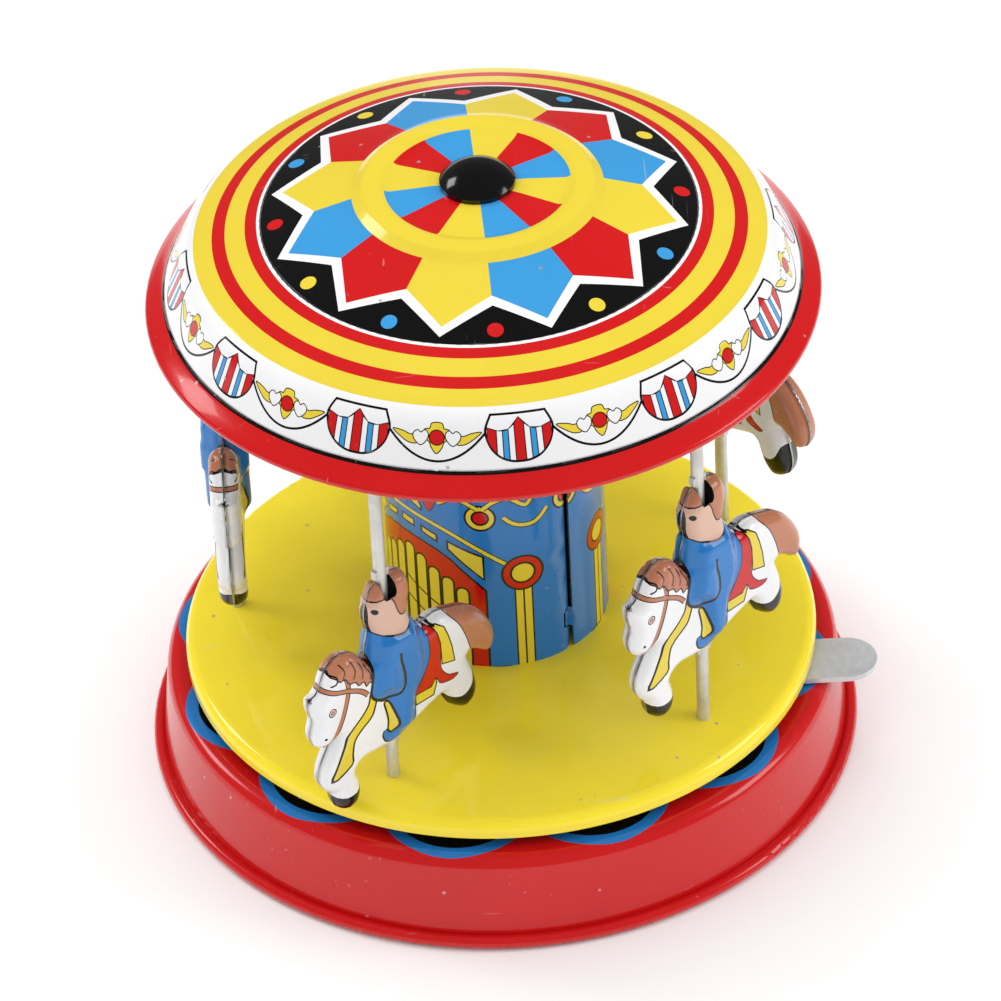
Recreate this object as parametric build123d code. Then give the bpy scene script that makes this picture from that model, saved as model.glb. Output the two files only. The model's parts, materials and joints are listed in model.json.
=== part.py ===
"""Clockwork tin carousel: a pressed tin merry-go-round with five horse riders, wound by a side lever.

Millimetres, +Z up. The origin is on the rest plane, on the spindle axis.
Each function makes one sub-part in its place, and main writes one STEP per sub-part.
"""
import os
from math import acos, atan2, cos, degrees, hypot, pi, radians, sin, tan

from build123d import *

# ---- sheet metal and clearances ------------------------------------------------------------------
SHEET = 0.5                 # pressed tin plate
RUN_CLEARANCE = 0.06        # radial, shaft in bearing
HOLE_CLEARANCE = 0.12       # radial, loose hole round a fixed piece
END_PLAY = 0.15             # axial gap beside a turning piece
TAB_CLEARANCE = 0.1         # slot round a bent tab
THROUGH = 400.0             # reach of a cutter that goes right through

# ---- base drum -----------------------------------------------------------------------------------
BASE_RADIUS = 62.0          # outside of the rolled bead
BASE_BEAD = 1.2             # bead section radius
BASE_BEAD_FLAT = 0.15       # depth pressed flat under the bead, where the toy stands
BASE_BEAD_LAP = 1.8         # drum wall inside the outside of the bead
BASE_HEIGHT = 17.0          # rest plane to the top of the drum
BASE_TAPER = 1.8            # how much the wall leans in from bottom to top
BASE_SHOULDER = 2.5         # bend radius at the top edge
BOTTOM_PLATE_Z = 0.9        # underside of the bottom plate

# ---- platform, column, canopy --------------------------------------------------------------------
PLATFORM_INSET = 7.0        # platform edge inside the drum's bead
PLATFORM_GAP = 2.1          # drum top to the underside of the platform rim
PLATFORM_RIM_DEPTH = 3.0
PLATFORM_EDGE = 2.0         # bend radius of the platform edge
PLATFORM_CROWN = 4.4        # how far the flat middle stands above the rim
PLATFORM_CROWN_BEND = 14.0  # bend radius between the middle and the slope
COLUMN_RADIUS = 19.0
COLUMN_SHEET = 0.4
COLUMN_HEIGHT = 71.8
COLUMN_MARGIN = 2.5         # flat of the platform outside the column
TAB_COUNT = 6
TAB_WIDTH = 3.0
TAB_FOOT = 2.0
TOP_DISC_MARGIN = 3.4       # top disc radius beyond the pole circle

CANOPY_OVERHANG = 1.6       # rolled rim beyond the platform edge
CANOPY_BEAD = 0.9
CANOPY_BEAD_LAP = 1.26      # foot of the flare inside the outside of the rim
CANOPY_DROP = 6.2           # underside of the rim below the top of the column
FLARE_WIDTH = 3.3           # flared rim, outside the steep band
FLARE_RISE = 3.7
FLARE_BEND = 1.8
BAND_WIDTH = 4.1            # steep printed band
BAND_RISE = 8.8
BAND_BEND = 6.0
ROOF_WIDTH = 12.8           # outer part of the roof, inside the band
ROOF_RISE = 4.3
ROOF_BEND = 30.0
BOSS_RADIUS = 20.9          # foot of the raised ring round the knob
BOSS_FOOT_RISE = 4.8        # above the outer part of the roof
BOSS_FOOT_BEND = 1.0
BOSS_STEP = 1.7             # how far the ring's side leans in
BOSS_RISE = 1.4
BOSS_BEND = 1.4
CROWN_RADIUS = 15.5         # dished middle inside the ring
CROWN_LIP = 0.8             # half the width of the slope into the middle
CROWN_DISH = 0.6
CROWN_DISH_BEND = 1.2
CROWN_RISE = 0.4            # the middle bulges up again under the knob
CROWN_BEND = 8.0
KNOB_RADIUS = 6.3
KNOB_HEIGHT = 3.7
KNOB_FOOT = 0.8             # straight edge below the dome
KNOB_SKIN = 1.0             # knob above the end of the spindle

# ---- poles and riders ----------------------------------------------------------------------------
POLE_COUNT = 5
POLE_INSET = 9.0            # poles inside the platform edge
POLE_RADIUS = 1.1
POLE_END = 0.6              # riveted end beyond the sheet
POLE_FIRST_ANGLE = -115.0   # degrees
CRIMP_WIDTH = 2.9           # flattened places that hold a rider at its height
CRIMP_THICKNESS = 1.1
CRIMP_HEIGHT = 1.6
RIDER_HEADINGS = (-140.0, -138.0, 130.0, 200.0, -90.0)
RIDER_LIFTS = (1.0, 9.0, 13.5, 5.0, 10.5)       # hoof above the rim of the platform
RIDER_SHEET = 0.5
HORSE_DEPTH = 2.7           # half thickness of a horse
RIDER_DEPTH = 4.2           # half thickness over the rider's skirt
HEAD_NOTCH = 3.6            # depth of the notch in the head that the pole stands in
HEAD_NOTCH_CLEARANCE = 0.25 # each side of the pole

# ---- spindle and movement ------------------------------------------------------------------------
SPINDLE_RADIUS = 1.5
SPINDLE_FOOT = 2.6
BUSH_WALL = 1.5
BUSH_FLANGE = 4.6
BUSH_FLANGE_THICKNESS = 0.6
PLATE_THICKNESS = 0.6
LOWER_PLATE_Z = 3.4
PLATE_WIDTH = 56.0
PLATE_LENGTH = 68.0
PLATE_CENTRE = (4.0, -9.0)
PLATE_CORNER = 6.0
PILLAR_INSET = 5.0
PILLAR_RADIUS = 2.2
SCREW_RADIUS = 0.9
SCREW_HEAD_RADIUS = 2.2
SCREW_HEAD_HEIGHT = 0.6
SCREW_LENGTH = 3.0          # thread into the pillar
SCREW_SLOT = 0.5
SCREW_SLOT_DEPTH = 0.3
RIVET_SPREAD = 1.8          # peened head, in shank radii
RIVET_HEIGHT = 0.3

MODULE = 0.6
PRESSURE_ANGLE = 20.0
ADDENDUM = 0.8              # in modules
DEDENDUM = 1.2              # in modules
BACKLASH = 0.12             # share of a tooth's width
WHEEL_THICKNESS = 1.0
WHEEL_RIM = 0.9             # inside the tooth roots
WHEEL_BOSS = 2.0            # solid centre round the bore
WHEEL_HOLES = 5
HOLE_SHARE = 0.8            # of the room between two spokes
PINION_EXTRA = 0.2          # how far a pinion stands past its wheel, each side
GREAT_TEETH = 48
TRANSFER_PINION_TEETH = 12
TRANSFER_TEETH = 36
SPINDLE_PINION_TEETH = 14
DRIVE_TEETH = 40
GOVERNOR_TEETH = 10
SECTOR_TEETH = 60           # on the full circle
WINDING_TEETH = 20
ARBOR_RADIUS = 1.0
DRIVE_WHEEL_Z = 4.9
TRANSFER_WHEEL_Z = 6.25
GREAT_WHEEL_Z = 8.6
RATCHET_Z = 9.75
RATCHET_THICKNESS = 0.8
RATCHET_TEETH = 16
RATCHET_RADIUS = 5.4
RATCHET_DEPTH = 0.7
SPRING_Z = 11.2
SPRING_HEIGHT = 2.8
SPRING_RADIUS = 12.2
SPRING_TURNS = 5
SPRING_STRIP = 0.3
SECTOR_Z = 14.55
FLYWHEEL_RADIUS = 8.5
FLYWHEEL_Z = 7.8
FLYWHEEL_HEIGHT = 3.0
GOVERNOR_ANGLE = 90.0

# ---- winding lever -------------------------------------------------------------------------------
LEVER_PIVOT = (24.0, -12.0)
LEVER_WIDTH = 10.6
LEVER_REACH = 40.8          # pivot to the rounded tip
LEVER_THICKNESS = 1.0
LEVER_GAP = 0.5             # lever above the drum top
LEVER_SHAFT_RADIUS = 2.0
LEVER_STROKE = 50.0         # degrees
CONTACT_ANGLE = 210.0       # from the lever pivot to the winding arbor
SECTOR_MARGIN = 7.0         # degrees of teeth past the stroke, each end
SECTOR_HUB_RADIUS = 5.0
RETURN_COIL_RADIUS = 3.4
RETURN_WIRE = 0.3
RETURN_COIL_PITCH = 1.5

# ---- small fixings -------------------------------------------------------------------------------
HUB_RADIUS = 3.6
HUB_FLANGE = 9.0
RIVET_CIRCLE = 6.5
RIVET_RADIUS = 0.8
RIVET_ANGLES = (30.0, 150.0, 270.0)
CLICK_PIN_CIRCLE = 8.6
CLICK_PIN_RADIUS = 0.7
CLICK_ANGLE = 100.0
CLUTCH_WALL = 1.0
CLUTCH_HEIGHT = 0.7

# ---- worked out from the above -------------------------------------------------------------------
BASE_INNER_TOP = BASE_HEIGHT - SHEET
PLATFORM_RADIUS = BASE_RADIUS - PLATFORM_INSET
PLATFORM_RIM_TOP = BASE_HEIGHT + PLATFORM_GAP + PLATFORM_RIM_DEPTH
PLATFORM_TOP = PLATFORM_RIM_TOP + PLATFORM_CROWN
PLATFORM_FLAT = COLUMN_RADIUS + COLUMN_MARGIN
POLE_CIRCLE = PLATFORM_RADIUS - POLE_INSET
UPPER_PLATE_Z = BASE_INNER_TOP - PLATE_THICKNESS
BUSH_TOP = BASE_HEIGHT + BUSH_FLANGE_THICKNESS
HUB_FOOT = BUSH_TOP + END_PLAY
PLATFORM_UNDER = PLATFORM_TOP - SHEET
COLUMN_TOP = PLATFORM_TOP + COLUMN_HEIGHT
TOP_DISC_Z = COLUMN_TOP + SHEET
LEVER_Z = BASE_HEIGHT + LEVER_GAP
BOTTOM_PLATE_TOP = BOTTOM_PLATE_Z + SHEET
CANOPY_RADIUS = PLATFORM_RADIUS + CANOPY_OVERHANG
CANOPY_RIM_Z = COLUMN_TOP - CANOPY_DROP
BAND_FOOT_RADIUS = CANOPY_RADIUS - FLARE_WIDTH
BAND_FOOT_Z = CANOPY_RIM_Z + FLARE_RISE
BAND_TOP_RADIUS = BAND_FOOT_RADIUS - BAND_WIDTH
BAND_TOP_Z = BAND_FOOT_Z + BAND_RISE
ROOF_RADIUS = BAND_TOP_RADIUS - ROOF_WIDTH
ROOF_Z = BAND_TOP_Z + ROOF_RISE
BOSS_Z = ROOF_Z + BOSS_FOOT_RISE
BOSS_TOP = BOSS_Z + BOSS_RISE
CANOPY_CENTRE_Z = BOSS_TOP - CROWN_DISH + CROWN_RISE
KNOB_TOP = CANOPY_CENTRE_Z + KNOB_HEIGHT


def centre_distance(teeth_a, teeth_b):
    """Distance between two arbors whose gears mesh."""
    return MODULE * (teeth_a + teeth_b) / 2


def polar(radius, angle, centre=(0.0, 0.0)):
    """Point at an angle in degrees on a circle about a centre."""
    return (centre[0] + radius * cos(radians(angle)), centre[1] + radius * sin(radians(angle)))


def bearing(start, end):
    """Direction in degrees from one point to another."""
    return degrees(atan2(end[1] - start[1], end[0] - start[0]))


WINDING_ARBOR = polar(centre_distance(SECTOR_TEETH, WINDING_TEETH), CONTACT_ANGLE, LEVER_PIVOT)
GOVERNOR_ARBOR = polar(centre_distance(DRIVE_TEETH, GOVERNOR_TEETH), GOVERNOR_ANGLE)


def transfer_arbor_place():
    """Third corner of the triangle spindle, winding arbor, transfer arbor, away from the lever."""
    to_spindle = centre_distance(TRANSFER_TEETH, SPINDLE_PINION_TEETH)
    to_winding = centre_distance(GREAT_TEETH, TRANSFER_PINION_TEETH)
    span = hypot(*WINDING_ARBOR)
    opening = acos((to_spindle ** 2 + span ** 2 - to_winding ** 2) / (2 * to_spindle * span))
    return polar(to_spindle, bearing((0, 0), WINDING_ARBOR) - degrees(opening))


TRANSFER_ARBOR = transfer_arbor_place()
POLE_ANGLES = [POLE_FIRST_ANGLE + 360 / POLE_COUNT * k for k in range(POLE_COUNT)]


# ---- helpers -------------------------------------------------------------------------------------
def rod(radius, low, high, place=(0.0, 0.0)):
    """Upright cylinder between two heights."""
    return Pos(place[0], place[1], (low + high) / 2) * Cylinder(radius, high - low)


def drill(radius, place=(0.0, 0.0)):
    """Cutter for an upright hole right through a piece."""
    return Pos(place[0], place[1], 0) * Cylinder(radius, 2 * THROUGH)


def ring(outer, inner, low, high, place=(0.0, 0.0)):
    """Upright tube between two heights."""
    return rod(outer, low, high, place) - drill(inner, place)


def pressed_shell(points, radii, thickness):
    """Sheet of revolution. The (radius, height) points run up the outer face from the rim to the middle."""
    outline = FilletPolyline(*points, radius=radii)
    section = make_face(offset(outline, amount=thickness, side=Side.LEFT))
    return revolve(Rot(90, 0, 0) * section, Axis.Z)


def bead(radius, section, height):
    """Rolled edge: a torus whose outside is at the radius and whose underside is at the height."""
    return Pos(0, 0, height + section) * Torus(radius - section, section)


def tooth_half_angle(radius, teeth):
    """Half the angle that an involute tooth fills at a radius, with backlash taken off."""
    pitch_radius = MODULE * teeth / 2
    base_radius = pitch_radius * cos(radians(PRESSURE_ANGLE))
    at_pitch = pi / 2 / teeth * (1 - BACKLASH)
    pressure = radians(PRESSURE_ANGLE)
    local = acos(min(1.0, base_radius / radius))
    return at_pitch + (tan(pressure) - pressure) - (tan(local) - local)


def root_radius(teeth):
    """Foot of the teeth of a gear."""
    return MODULE * (teeth / 2 - DEDENDUM)


def tooth_outline(teeth, centre_angle):
    """Points of one tooth, root to tip to root, anticlockwise."""
    pitch_radius = MODULE * teeth / 2
    base_radius = pitch_radius * cos(radians(PRESSURE_ANGLE))
    root = root_radius(teeth)
    tip = pitch_radius + ADDENDUM * MODULE
    flank_start = max(base_radius, root)
    steps = 4
    rising = [(root, tooth_half_angle(flank_start, teeth))]
    for k in range(steps + 1):
        radius = flank_start + (tip - flank_start) * k / steps
        rising.append((radius, tooth_half_angle(radius, teeth)))
    if flank_start - root < 1e-6:
        rising.pop(0)
    centre = radians(centre_angle)
    up = [(r * cos(centre - half), r * sin(centre - half)) for r, half in rising]
    down = [(r * cos(centre + half), r * sin(centre + half)) for r, half in reversed(rising)]
    return up + down


def gear(teeth, low, high, place, tooth_angle):
    """Spur gear with one tooth centred on tooth_angle, without a bore."""
    points = []
    for k in range(teeth):
        points += tooth_outline(teeth, tooth_angle + 360 / teeth * k)
    face = make_face(Polyline(*points, close=True))
    return Pos(place[0], place[1], low) * extrude(face, high - low)


def spokes_cut(wheel, place, inner, outer):
    """Lightening holes round a wheel, between its hub and its rim."""
    middle = (inner + outer) / 2
    hole = min((outer - inner) / 2, middle * sin(pi / WHEEL_HOLES) * HOLE_SHARE)
    for k in range(WHEEL_HOLES):
        wheel -= drill(hole, polar(middle, 360 / WHEEL_HOLES * (k + 0.5), place))
    return wheel


# ---- base and movement frame ---------------------------------------------------------------------
def pillar_places():
    """Corners of the movement plates where the pillars stand."""
    half_x = PLATE_WIDTH / 2 - PILLAR_INSET
    half_y = PLATE_LENGTH / 2 - PILLAR_INSET
    return [(PLATE_CENTRE[0] + side_x * half_x, PLATE_CENTRE[1] + side_y * half_y)
            for side_x in (-1, 1) for side_y in (-1, 1)]


def base_shell():
    """Red drum: tapered wall, rounded shoulder and flat top, with a rolled bead at the foot."""
    wall_foot = BASE_RADIUS - BASE_BEAD_LAP
    points = [(wall_foot, BASE_BEAD), (wall_foot - BASE_TAPER, BASE_HEIGHT), (1.0, BASE_HEIGHT)]
    shell = pressed_shell(points, [BASE_SHOULDER], SHEET)
    shell += bead(BASE_RADIUS, BASE_BEAD, -BASE_BEAD_FLAT)
    shell -= rod(BASE_RADIUS, -2 * BASE_BEAD, 0)
    shell -= drill(SPINDLE_RADIUS + RUN_CLEARANCE + BUSH_WALL)
    shell -= drill(LEVER_SHAFT_RADIUS + RUN_CLEARANCE, LEVER_PIVOT)
    for place in pillar_places():
        shell -= drill(SCREW_RADIUS, place)
    return shell


def bottom_plate():
    """Flat tin disc that closes the drum from below."""
    plate = rod(BASE_RADIUS - 2 * BASE_BEAD, BOTTOM_PLATE_Z, BOTTOM_PLATE_TOP)
    for place in pillar_places():
        plate -= drill(SCREW_RADIUS + HOLE_CLEARANCE, place)
    return plate


def bottom_plate_screws():
    """One pan screw at each pillar, up through the bottom plate."""
    screws = []
    for place in pillar_places():
        head = rod(SCREW_HEAD_RADIUS, BOTTOM_PLATE_Z - SCREW_HEAD_HEIGHT, BOTTOM_PLATE_Z, place)
        shank = rod(SCREW_RADIUS, BOTTOM_PLATE_Z, LOWER_PLATE_Z + SCREW_LENGTH, place)
        slot = Pos(place[0], place[1], BOTTOM_PLATE_Z - SCREW_HEAD_HEIGHT) * Box(
            3 * SCREW_HEAD_RADIUS, SCREW_SLOT, 2 * SCREW_SLOT_DEPTH)
        screws.append(head + shank - slot)
    return Compound(children=screws)


def bottom_standoffs():
    """Short tubes between the bottom plate and the lower movement plate."""
    bore = SCREW_RADIUS + HOLE_CLEARANCE
    return Compound(children=[ring(PILLAR_RADIUS, bore, BOTTOM_PLATE_TOP, LOWER_PLATE_Z, place)
                              for place in pillar_places()])


def movement_pillars():
    """Four turned pillars, screwed from below and riveted over the drum top."""
    pillars = []
    for place in pillar_places():
        pillar = rod(PILLAR_RADIUS, LOWER_PLATE_Z + PLATE_THICKNESS, UPPER_PLATE_Z, place)
        pillar += rod(SCREW_RADIUS, UPPER_PLATE_Z, BASE_HEIGHT, place)
        pillar += rod(RIVET_SPREAD * SCREW_RADIUS, BASE_HEIGHT, BASE_HEIGHT + RIVET_HEIGHT, place)
        pillars.append(pillar - rod(SCREW_RADIUS, 0, LOWER_PLATE_Z + SCREW_LENGTH, place))
    return Compound(children=pillars)


def movement_plate(low, spindle_hole):
    """Rounded steel plate that carries the arbors."""
    plate = Pos(PLATE_CENTRE[0], PLATE_CENTRE[1], low) * extrude(
        RectangleRounded(PLATE_WIDTH, PLATE_LENGTH, PLATE_CORNER), PLATE_THICKNESS)
    plate -= drill(spindle_hole)
    plate -= drill(LEVER_SHAFT_RADIUS + RUN_CLEARANCE, LEVER_PIVOT)
    for arbor in (TRANSFER_ARBOR, GOVERNOR_ARBOR):
        plate -= drill(ARBOR_RADIUS + RUN_CLEARANCE, arbor)
    plate -= drill(SPINDLE_RADIUS + RUN_CLEARANCE, WINDING_ARBOR)
    return plate


def movement_lower_plate():
    """Plate that stands on the standoffs, with a bush for the foot of the spindle."""
    plate = movement_plate(LOWER_PLATE_Z, SPINDLE_RADIUS + RUN_CLEARANCE + BUSH_WALL)
    for place in pillar_places():
        plate -= drill(SCREW_RADIUS + HOLE_CLEARANCE, place)
    return plate


def movement_upper_plate():
    """Plate against the underside of the drum top."""
    plate = movement_plate(UPPER_PLATE_Z, SPINDLE_RADIUS + RUN_CLEARANCE + BUSH_WALL)
    for place in pillar_places():
        plate -= drill(SCREW_RADIUS, place)
    return plate


def spindle_upper_bush():
    """Flanged bush through the drum top, which carries the weight of the carousel."""
    bore = SPINDLE_RADIUS + RUN_CLEARANCE
    body = ring(bore + BUSH_WALL, bore, UPPER_PLATE_Z, BASE_HEIGHT)
    return body + ring(BUSH_FLANGE, bore, BASE_HEIGHT, BUSH_TOP)


def spindle_lower_bush():
    """Flanged bush in the lower movement plate, which steadies the foot of the spindle."""
    bore = SPINDLE_RADIUS + RUN_CLEARANCE
    body = ring(bore + BUSH_WALL, bore, LOWER_PLATE_Z, LOWER_PLATE_Z + PLATE_THICKNESS)
    return body + ring(BUSH_FLANGE, bore, LOWER_PLATE_Z - BUSH_FLANGE_THICKNESS, LOWER_PLATE_Z)


def lever_washer():
    """Washer that keeps the lever off the printed drum top."""
    bore = LEVER_SHAFT_RADIUS + RUN_CLEARANCE
    return ring(bore + BUSH_WALL, bore, BASE_HEIGHT, LEVER_Z - RUN_CLEARANCE, LEVER_PIVOT)


def spiral_strip(start, end, turns, thickness):
    """Flat spiral strip: outer and inner edges follow r = start + growth x turn."""
    count = 16 * turns
    edge = [(start + (end - start) * k / count, 360 / 16 * k) for k in range(count + 1)]
    outside = Spline(*[polar(r + thickness / 2, a) for r, a in edge])
    inside = Spline(*[polar(r - thickness / 2, a) for r, a in edge])
    ends = [Line(outside @ 0, inside @ 0), Line(outside @ 1, inside @ 1)]
    return make_face([outside, inside] + ends)


def mainspring():
    """Spiral spring round the winding arbor; its outer end is held by the frame."""
    hub = SPINDLE_RADIUS + RUN_CLEARANCE + SPRING_STRIP
    strip = spiral_strip(hub, SPRING_RADIUS, SPRING_TURNS, SPRING_STRIP)
    return Pos(WINDING_ARBOR[0], WINDING_ARBOR[1], SPRING_Z) * extrude(strip, SPRING_HEIGHT)


def lever_return_spring():
    """Coil round the lever shaft that brings the lever back after each stroke."""
    low = LOWER_PLATE_Z + PLATE_THICKNESS + 2 * RETURN_WIRE
    high = SECTOR_Z - 2 * RETURN_WIRE
    path = Helix(RETURN_COIL_PITCH, high - low, RETURN_COIL_RADIUS)
    section = Plane(origin=path @ 0, z_dir=path % 0) * Circle(RETURN_WIRE)
    return Pos(LEVER_PIVOT[0], LEVER_PIVOT[1], low) * sweep(section, path)


# ---- carousel ------------------------------------------------------------------------------------
def main_spindle():
    """Steel rod from the lower bush to the knob."""
    return rod(SPINDLE_RADIUS, SPINDLE_FOOT, KNOB_TOP - KNOB_SKIN)


def spindle_pinion():
    """Pinion that the transfer wheel drives."""
    low = TRANSFER_WHEEL_Z - PINION_EXTRA
    tooth = bearing((0, 0), TRANSFER_ARBOR)
    wheel = gear(SPINDLE_PINION_TEETH, low, low + WHEEL_THICKNESS + 2 * PINION_EXTRA, (0, 0), tooth)
    return wheel - drill(SPINDLE_RADIUS)


def governor_drive_wheel():
    """Wheel on the spindle that drives the governor."""
    high = DRIVE_WHEEL_Z + WHEEL_THICKNESS
    wheel = gear(DRIVE_TEETH, DRIVE_WHEEL_Z, high, (0, 0), GOVERNOR_ANGLE)
    rim = root_radius(DRIVE_TEETH) - WHEEL_RIM
    wheel = spokes_cut(wheel, (0, 0), SPINDLE_RADIUS + WHEEL_BOSS, rim)
    return wheel - drill(SPINDLE_RADIUS)


def platform_hub():
    """Flanged hub pressed on the spindle, under the platform."""
    body = ring(HUB_RADIUS, SPINDLE_RADIUS, HUB_FOOT, PLATFORM_UNDER)
    flange = ring(HUB_FLANGE, SPINDLE_RADIUS, PLATFORM_UNDER - SHEET, PLATFORM_UNDER)
    hub = body + flange
    for angle in RIVET_ANGLES:
        hub -= drill(RIVET_RADIUS, polar(RIVET_CIRCLE, angle))
    return hub


def platform_rivets():
    """Three rivets that hold the platform on its hub."""
    rivets = []
    for angle in RIVET_ANGLES:
        place = polar(RIVET_CIRCLE, angle)
        shank = rod(RIVET_RADIUS, PLATFORM_UNDER - SHEET, PLATFORM_TOP, place)
        head = RIVET_SPREAD * RIVET_RADIUS
        heads = rod(head, PLATFORM_TOP, PLATFORM_TOP + RIVET_HEIGHT, place)
        heads += rod(head, PLATFORM_UNDER - SHEET - RIVET_HEIGHT, PLATFORM_UNDER - SHEET, place)
        rivets.append(shank + heads)
    return Compound(children=rivets)


def tab_angles():
    """Where the column's tabs are, round the column."""
    return [360 / TAB_COUNT * (k + 0.5) for k in range(TAB_COUNT)]


def tab_slots(height):
    """Cutters for the slots that the column tabs pass through, about a height."""
    width = TAB_WIDTH + 2 * TAB_CLEARANCE
    depth = COLUMN_SHEET + 2 * TAB_CLEARANCE
    middle = COLUMN_RADIUS - COLUMN_SHEET / 2
    slot = Pos(middle, 0, height) * Box(depth, width, 6 * SHEET)
    return [Rot(0, 0, angle) * slot for angle in tab_angles()]


def deck_height(radius):
    """Top of the sloping part of the platform at a radius."""
    share = (PLATFORM_RADIUS - radius) / (PLATFORM_RADIUS - PLATFORM_FLAT)
    return PLATFORM_RIM_TOP + PLATFORM_CROWN * share


def platform():
    """Yellow turntable: flat middle, gentle slope and a turned-down rim."""
    points = [(PLATFORM_RADIUS, PLATFORM_RIM_TOP - PLATFORM_RIM_DEPTH), (PLATFORM_RADIUS, PLATFORM_RIM_TOP),
              (PLATFORM_FLAT, PLATFORM_TOP), (SPINDLE_RADIUS, PLATFORM_TOP)]
    deck = pressed_shell(points, [PLATFORM_EDGE, PLATFORM_CROWN_BEND], SHEET)
    for angle in POLE_ANGLES:
        deck -= drill(POLE_RADIUS, polar(POLE_CIRCLE, angle))
    for angle in RIVET_ANGLES:
        deck -= drill(RIVET_RADIUS, polar(RIVET_CIRCLE, angle))
    for slot in tab_slots(PLATFORM_TOP):
        deck -= slot
    return deck


def column():
    """Printed centre tube, with tabs bent under the platform and over the top disc."""
    tube = ring(COLUMN_RADIUS, COLUMN_RADIUS - COLUMN_SHEET, PLATFORM_TOP, COLUMN_TOP)
    middle = COLUMN_RADIUS - COLUMN_SHEET / 2
    ends = ((PLATFORM_UNDER, PLATFORM_UNDER - COLUMN_SHEET), (COLUMN_TOP, TOP_DISC_Z))
    for angle in tab_angles():
        for sheet_low, foot_low in ends:
            rise = Pos(middle, 0, sheet_low + SHEET / 2) * Box(
                COLUMN_SHEET, TAB_WIDTH, SHEET + 2 * COLUMN_SHEET)
            foot = Pos(middle - TAB_FOOT / 2 + COLUMN_SHEET / 2, 0, foot_low + COLUMN_SHEET / 2) * Box(
                TAB_FOOT, TAB_WIDTH, COLUMN_SHEET)
            tube += Rot(0, 0, angle) * (rise + foot)
    return tube


def pole_top_disc():
    """Disc on top of the column, inside the canopy, that holds the upper ends of the poles."""
    disc = ring(POLE_CIRCLE + TOP_DISC_MARGIN, SPINDLE_RADIUS + HOLE_CLEARANCE, COLUMN_TOP, TOP_DISC_Z)
    for angle in POLE_ANGLES:
        disc -= drill(POLE_RADIUS, polar(POLE_CIRCLE, angle))
    for slot in tab_slots(TOP_DISC_Z):
        disc -= slot
    return disc


def canopy_collar():
    """Spacer tube on the spindle, between the top disc and the canopy."""
    return ring(SPINDLE_RADIUS + BUSH_WALL, SPINDLE_RADIUS, TOP_DISC_Z, CANOPY_CENTRE_Z - SHEET)


def canopy():
    """Domed roof with a raised ring round a dished middle, a steep band and a flared, rolled rim."""
    points = [(CANOPY_RADIUS - CANOPY_BEAD_LAP, CANOPY_RIM_Z + CANOPY_BEAD),
              (BAND_FOOT_RADIUS, BAND_FOOT_Z), (BAND_TOP_RADIUS, BAND_TOP_Z),
              (ROOF_RADIUS, ROOF_Z), (BOSS_RADIUS, BOSS_Z),
              (BOSS_RADIUS - BOSS_STEP, BOSS_TOP), (CROWN_RADIUS + CROWN_LIP, BOSS_TOP),
              (CROWN_RADIUS - CROWN_LIP, BOSS_TOP - CROWN_DISH), (CROWN_RADIUS / 2, CANOPY_CENTRE_Z),
              (SPINDLE_RADIUS, CANOPY_CENTRE_Z)]
    bends = [FLARE_BEND, BAND_BEND, ROOF_BEND, BOSS_FOOT_BEND, BOSS_BEND, BOSS_BEND, CROWN_DISH_BEND,
             CROWN_BEND]
    shell = pressed_shell(points, bends, SHEET)
    return shell + bead(CANOPY_RADIUS, CANOPY_BEAD, CANOPY_RIM_Z)


def canopy_knob():
    """Glossy domed nut on top of the spindle."""
    foot_top = CANOPY_CENTRE_Z + KNOB_FOOT
    rise = KNOB_TOP - foot_top
    cap_radius = (KNOB_RADIUS ** 2 + rise ** 2) / (2 * rise)
    dome = Pos(0, 0, KNOB_TOP - cap_radius) * Sphere(cap_radius)
    knob = dome & rod(KNOB_RADIUS, CANOPY_CENTRE_Z, KNOB_TOP + 1)
    return knob - rod(SPINDLE_RADIUS, 0, KNOB_TOP - KNOB_SKIN)


def rider_foot(index):
    """Height of the horse's lowest hoof."""
    return PLATFORM_RIM_TOP + RIDER_LIFTS[index]


def pole(index):
    """Tin rod from under the platform to the top disc, crimped above and below its rider."""
    place = polar(POLE_CIRCLE, POLE_ANGLES[index])
    shaft = rod(POLE_RADIUS, deck_height(POLE_CIRCLE) - SHEET - POLE_END, TOP_DISC_Z + POLE_END, place)
    heading = RIDER_HEADINGS[index]
    hold_low = rider_foot(index) + BELLY_HEIGHT - END_PLAY - CRIMP_HEIGHT / 2
    hold_high = rider_foot(index) + HEAD_HEIGHT + END_PLAY + CRIMP_HEIGHT / 2
    for level in (hold_low, hold_high):
        shaft += Pos(place[0], place[1], level) * Rot(0, 0, heading) * Box(
            CRIMP_WIDTH, CRIMP_THICKNESS, CRIMP_HEIGHT)
    return shaft


# Side view of the pressing, u forward of the pole and v above the lowest hoof.
MANE_AND_FACE = [(5.0, 28.2), (6.6, 30.6), (8.9, 32.1), (11.4, 32.0), (13.4, 30.3), (15.1, 27.0),
                 (16.9, 26.2), (17.2, 24.2), (16.6, 21.8), (17.3, 19.0), (16.7, 16.7), (15.0, 15.7),
                 (12.4, 16.6)]
FRONT_LEGS = [(13.9, 14.1), (15.6, 11.2), (16.2, 8.6), (15.4, 6.4), (14.1, 4.6), (13.2, 1.4), (11.4, 0.0),
              (9.2, 0.7), (8.2, 2.8), (8.5, 5.4), (9.0, 7.6), (7.3, 9.0)]
BELLY = [(3.9, 8.8), (0.0, 8.8), (-4.5, 10.6), (-7.8, 11.8), (-10.6, 12.4)]
HIND_LEGS = [(-11.6, 10.4), (-12.9, 8.2), (-15.2, 6.7), (-17.5, 7.9), (-18.3, 10.6), (-17.6, 14.1)]
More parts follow.
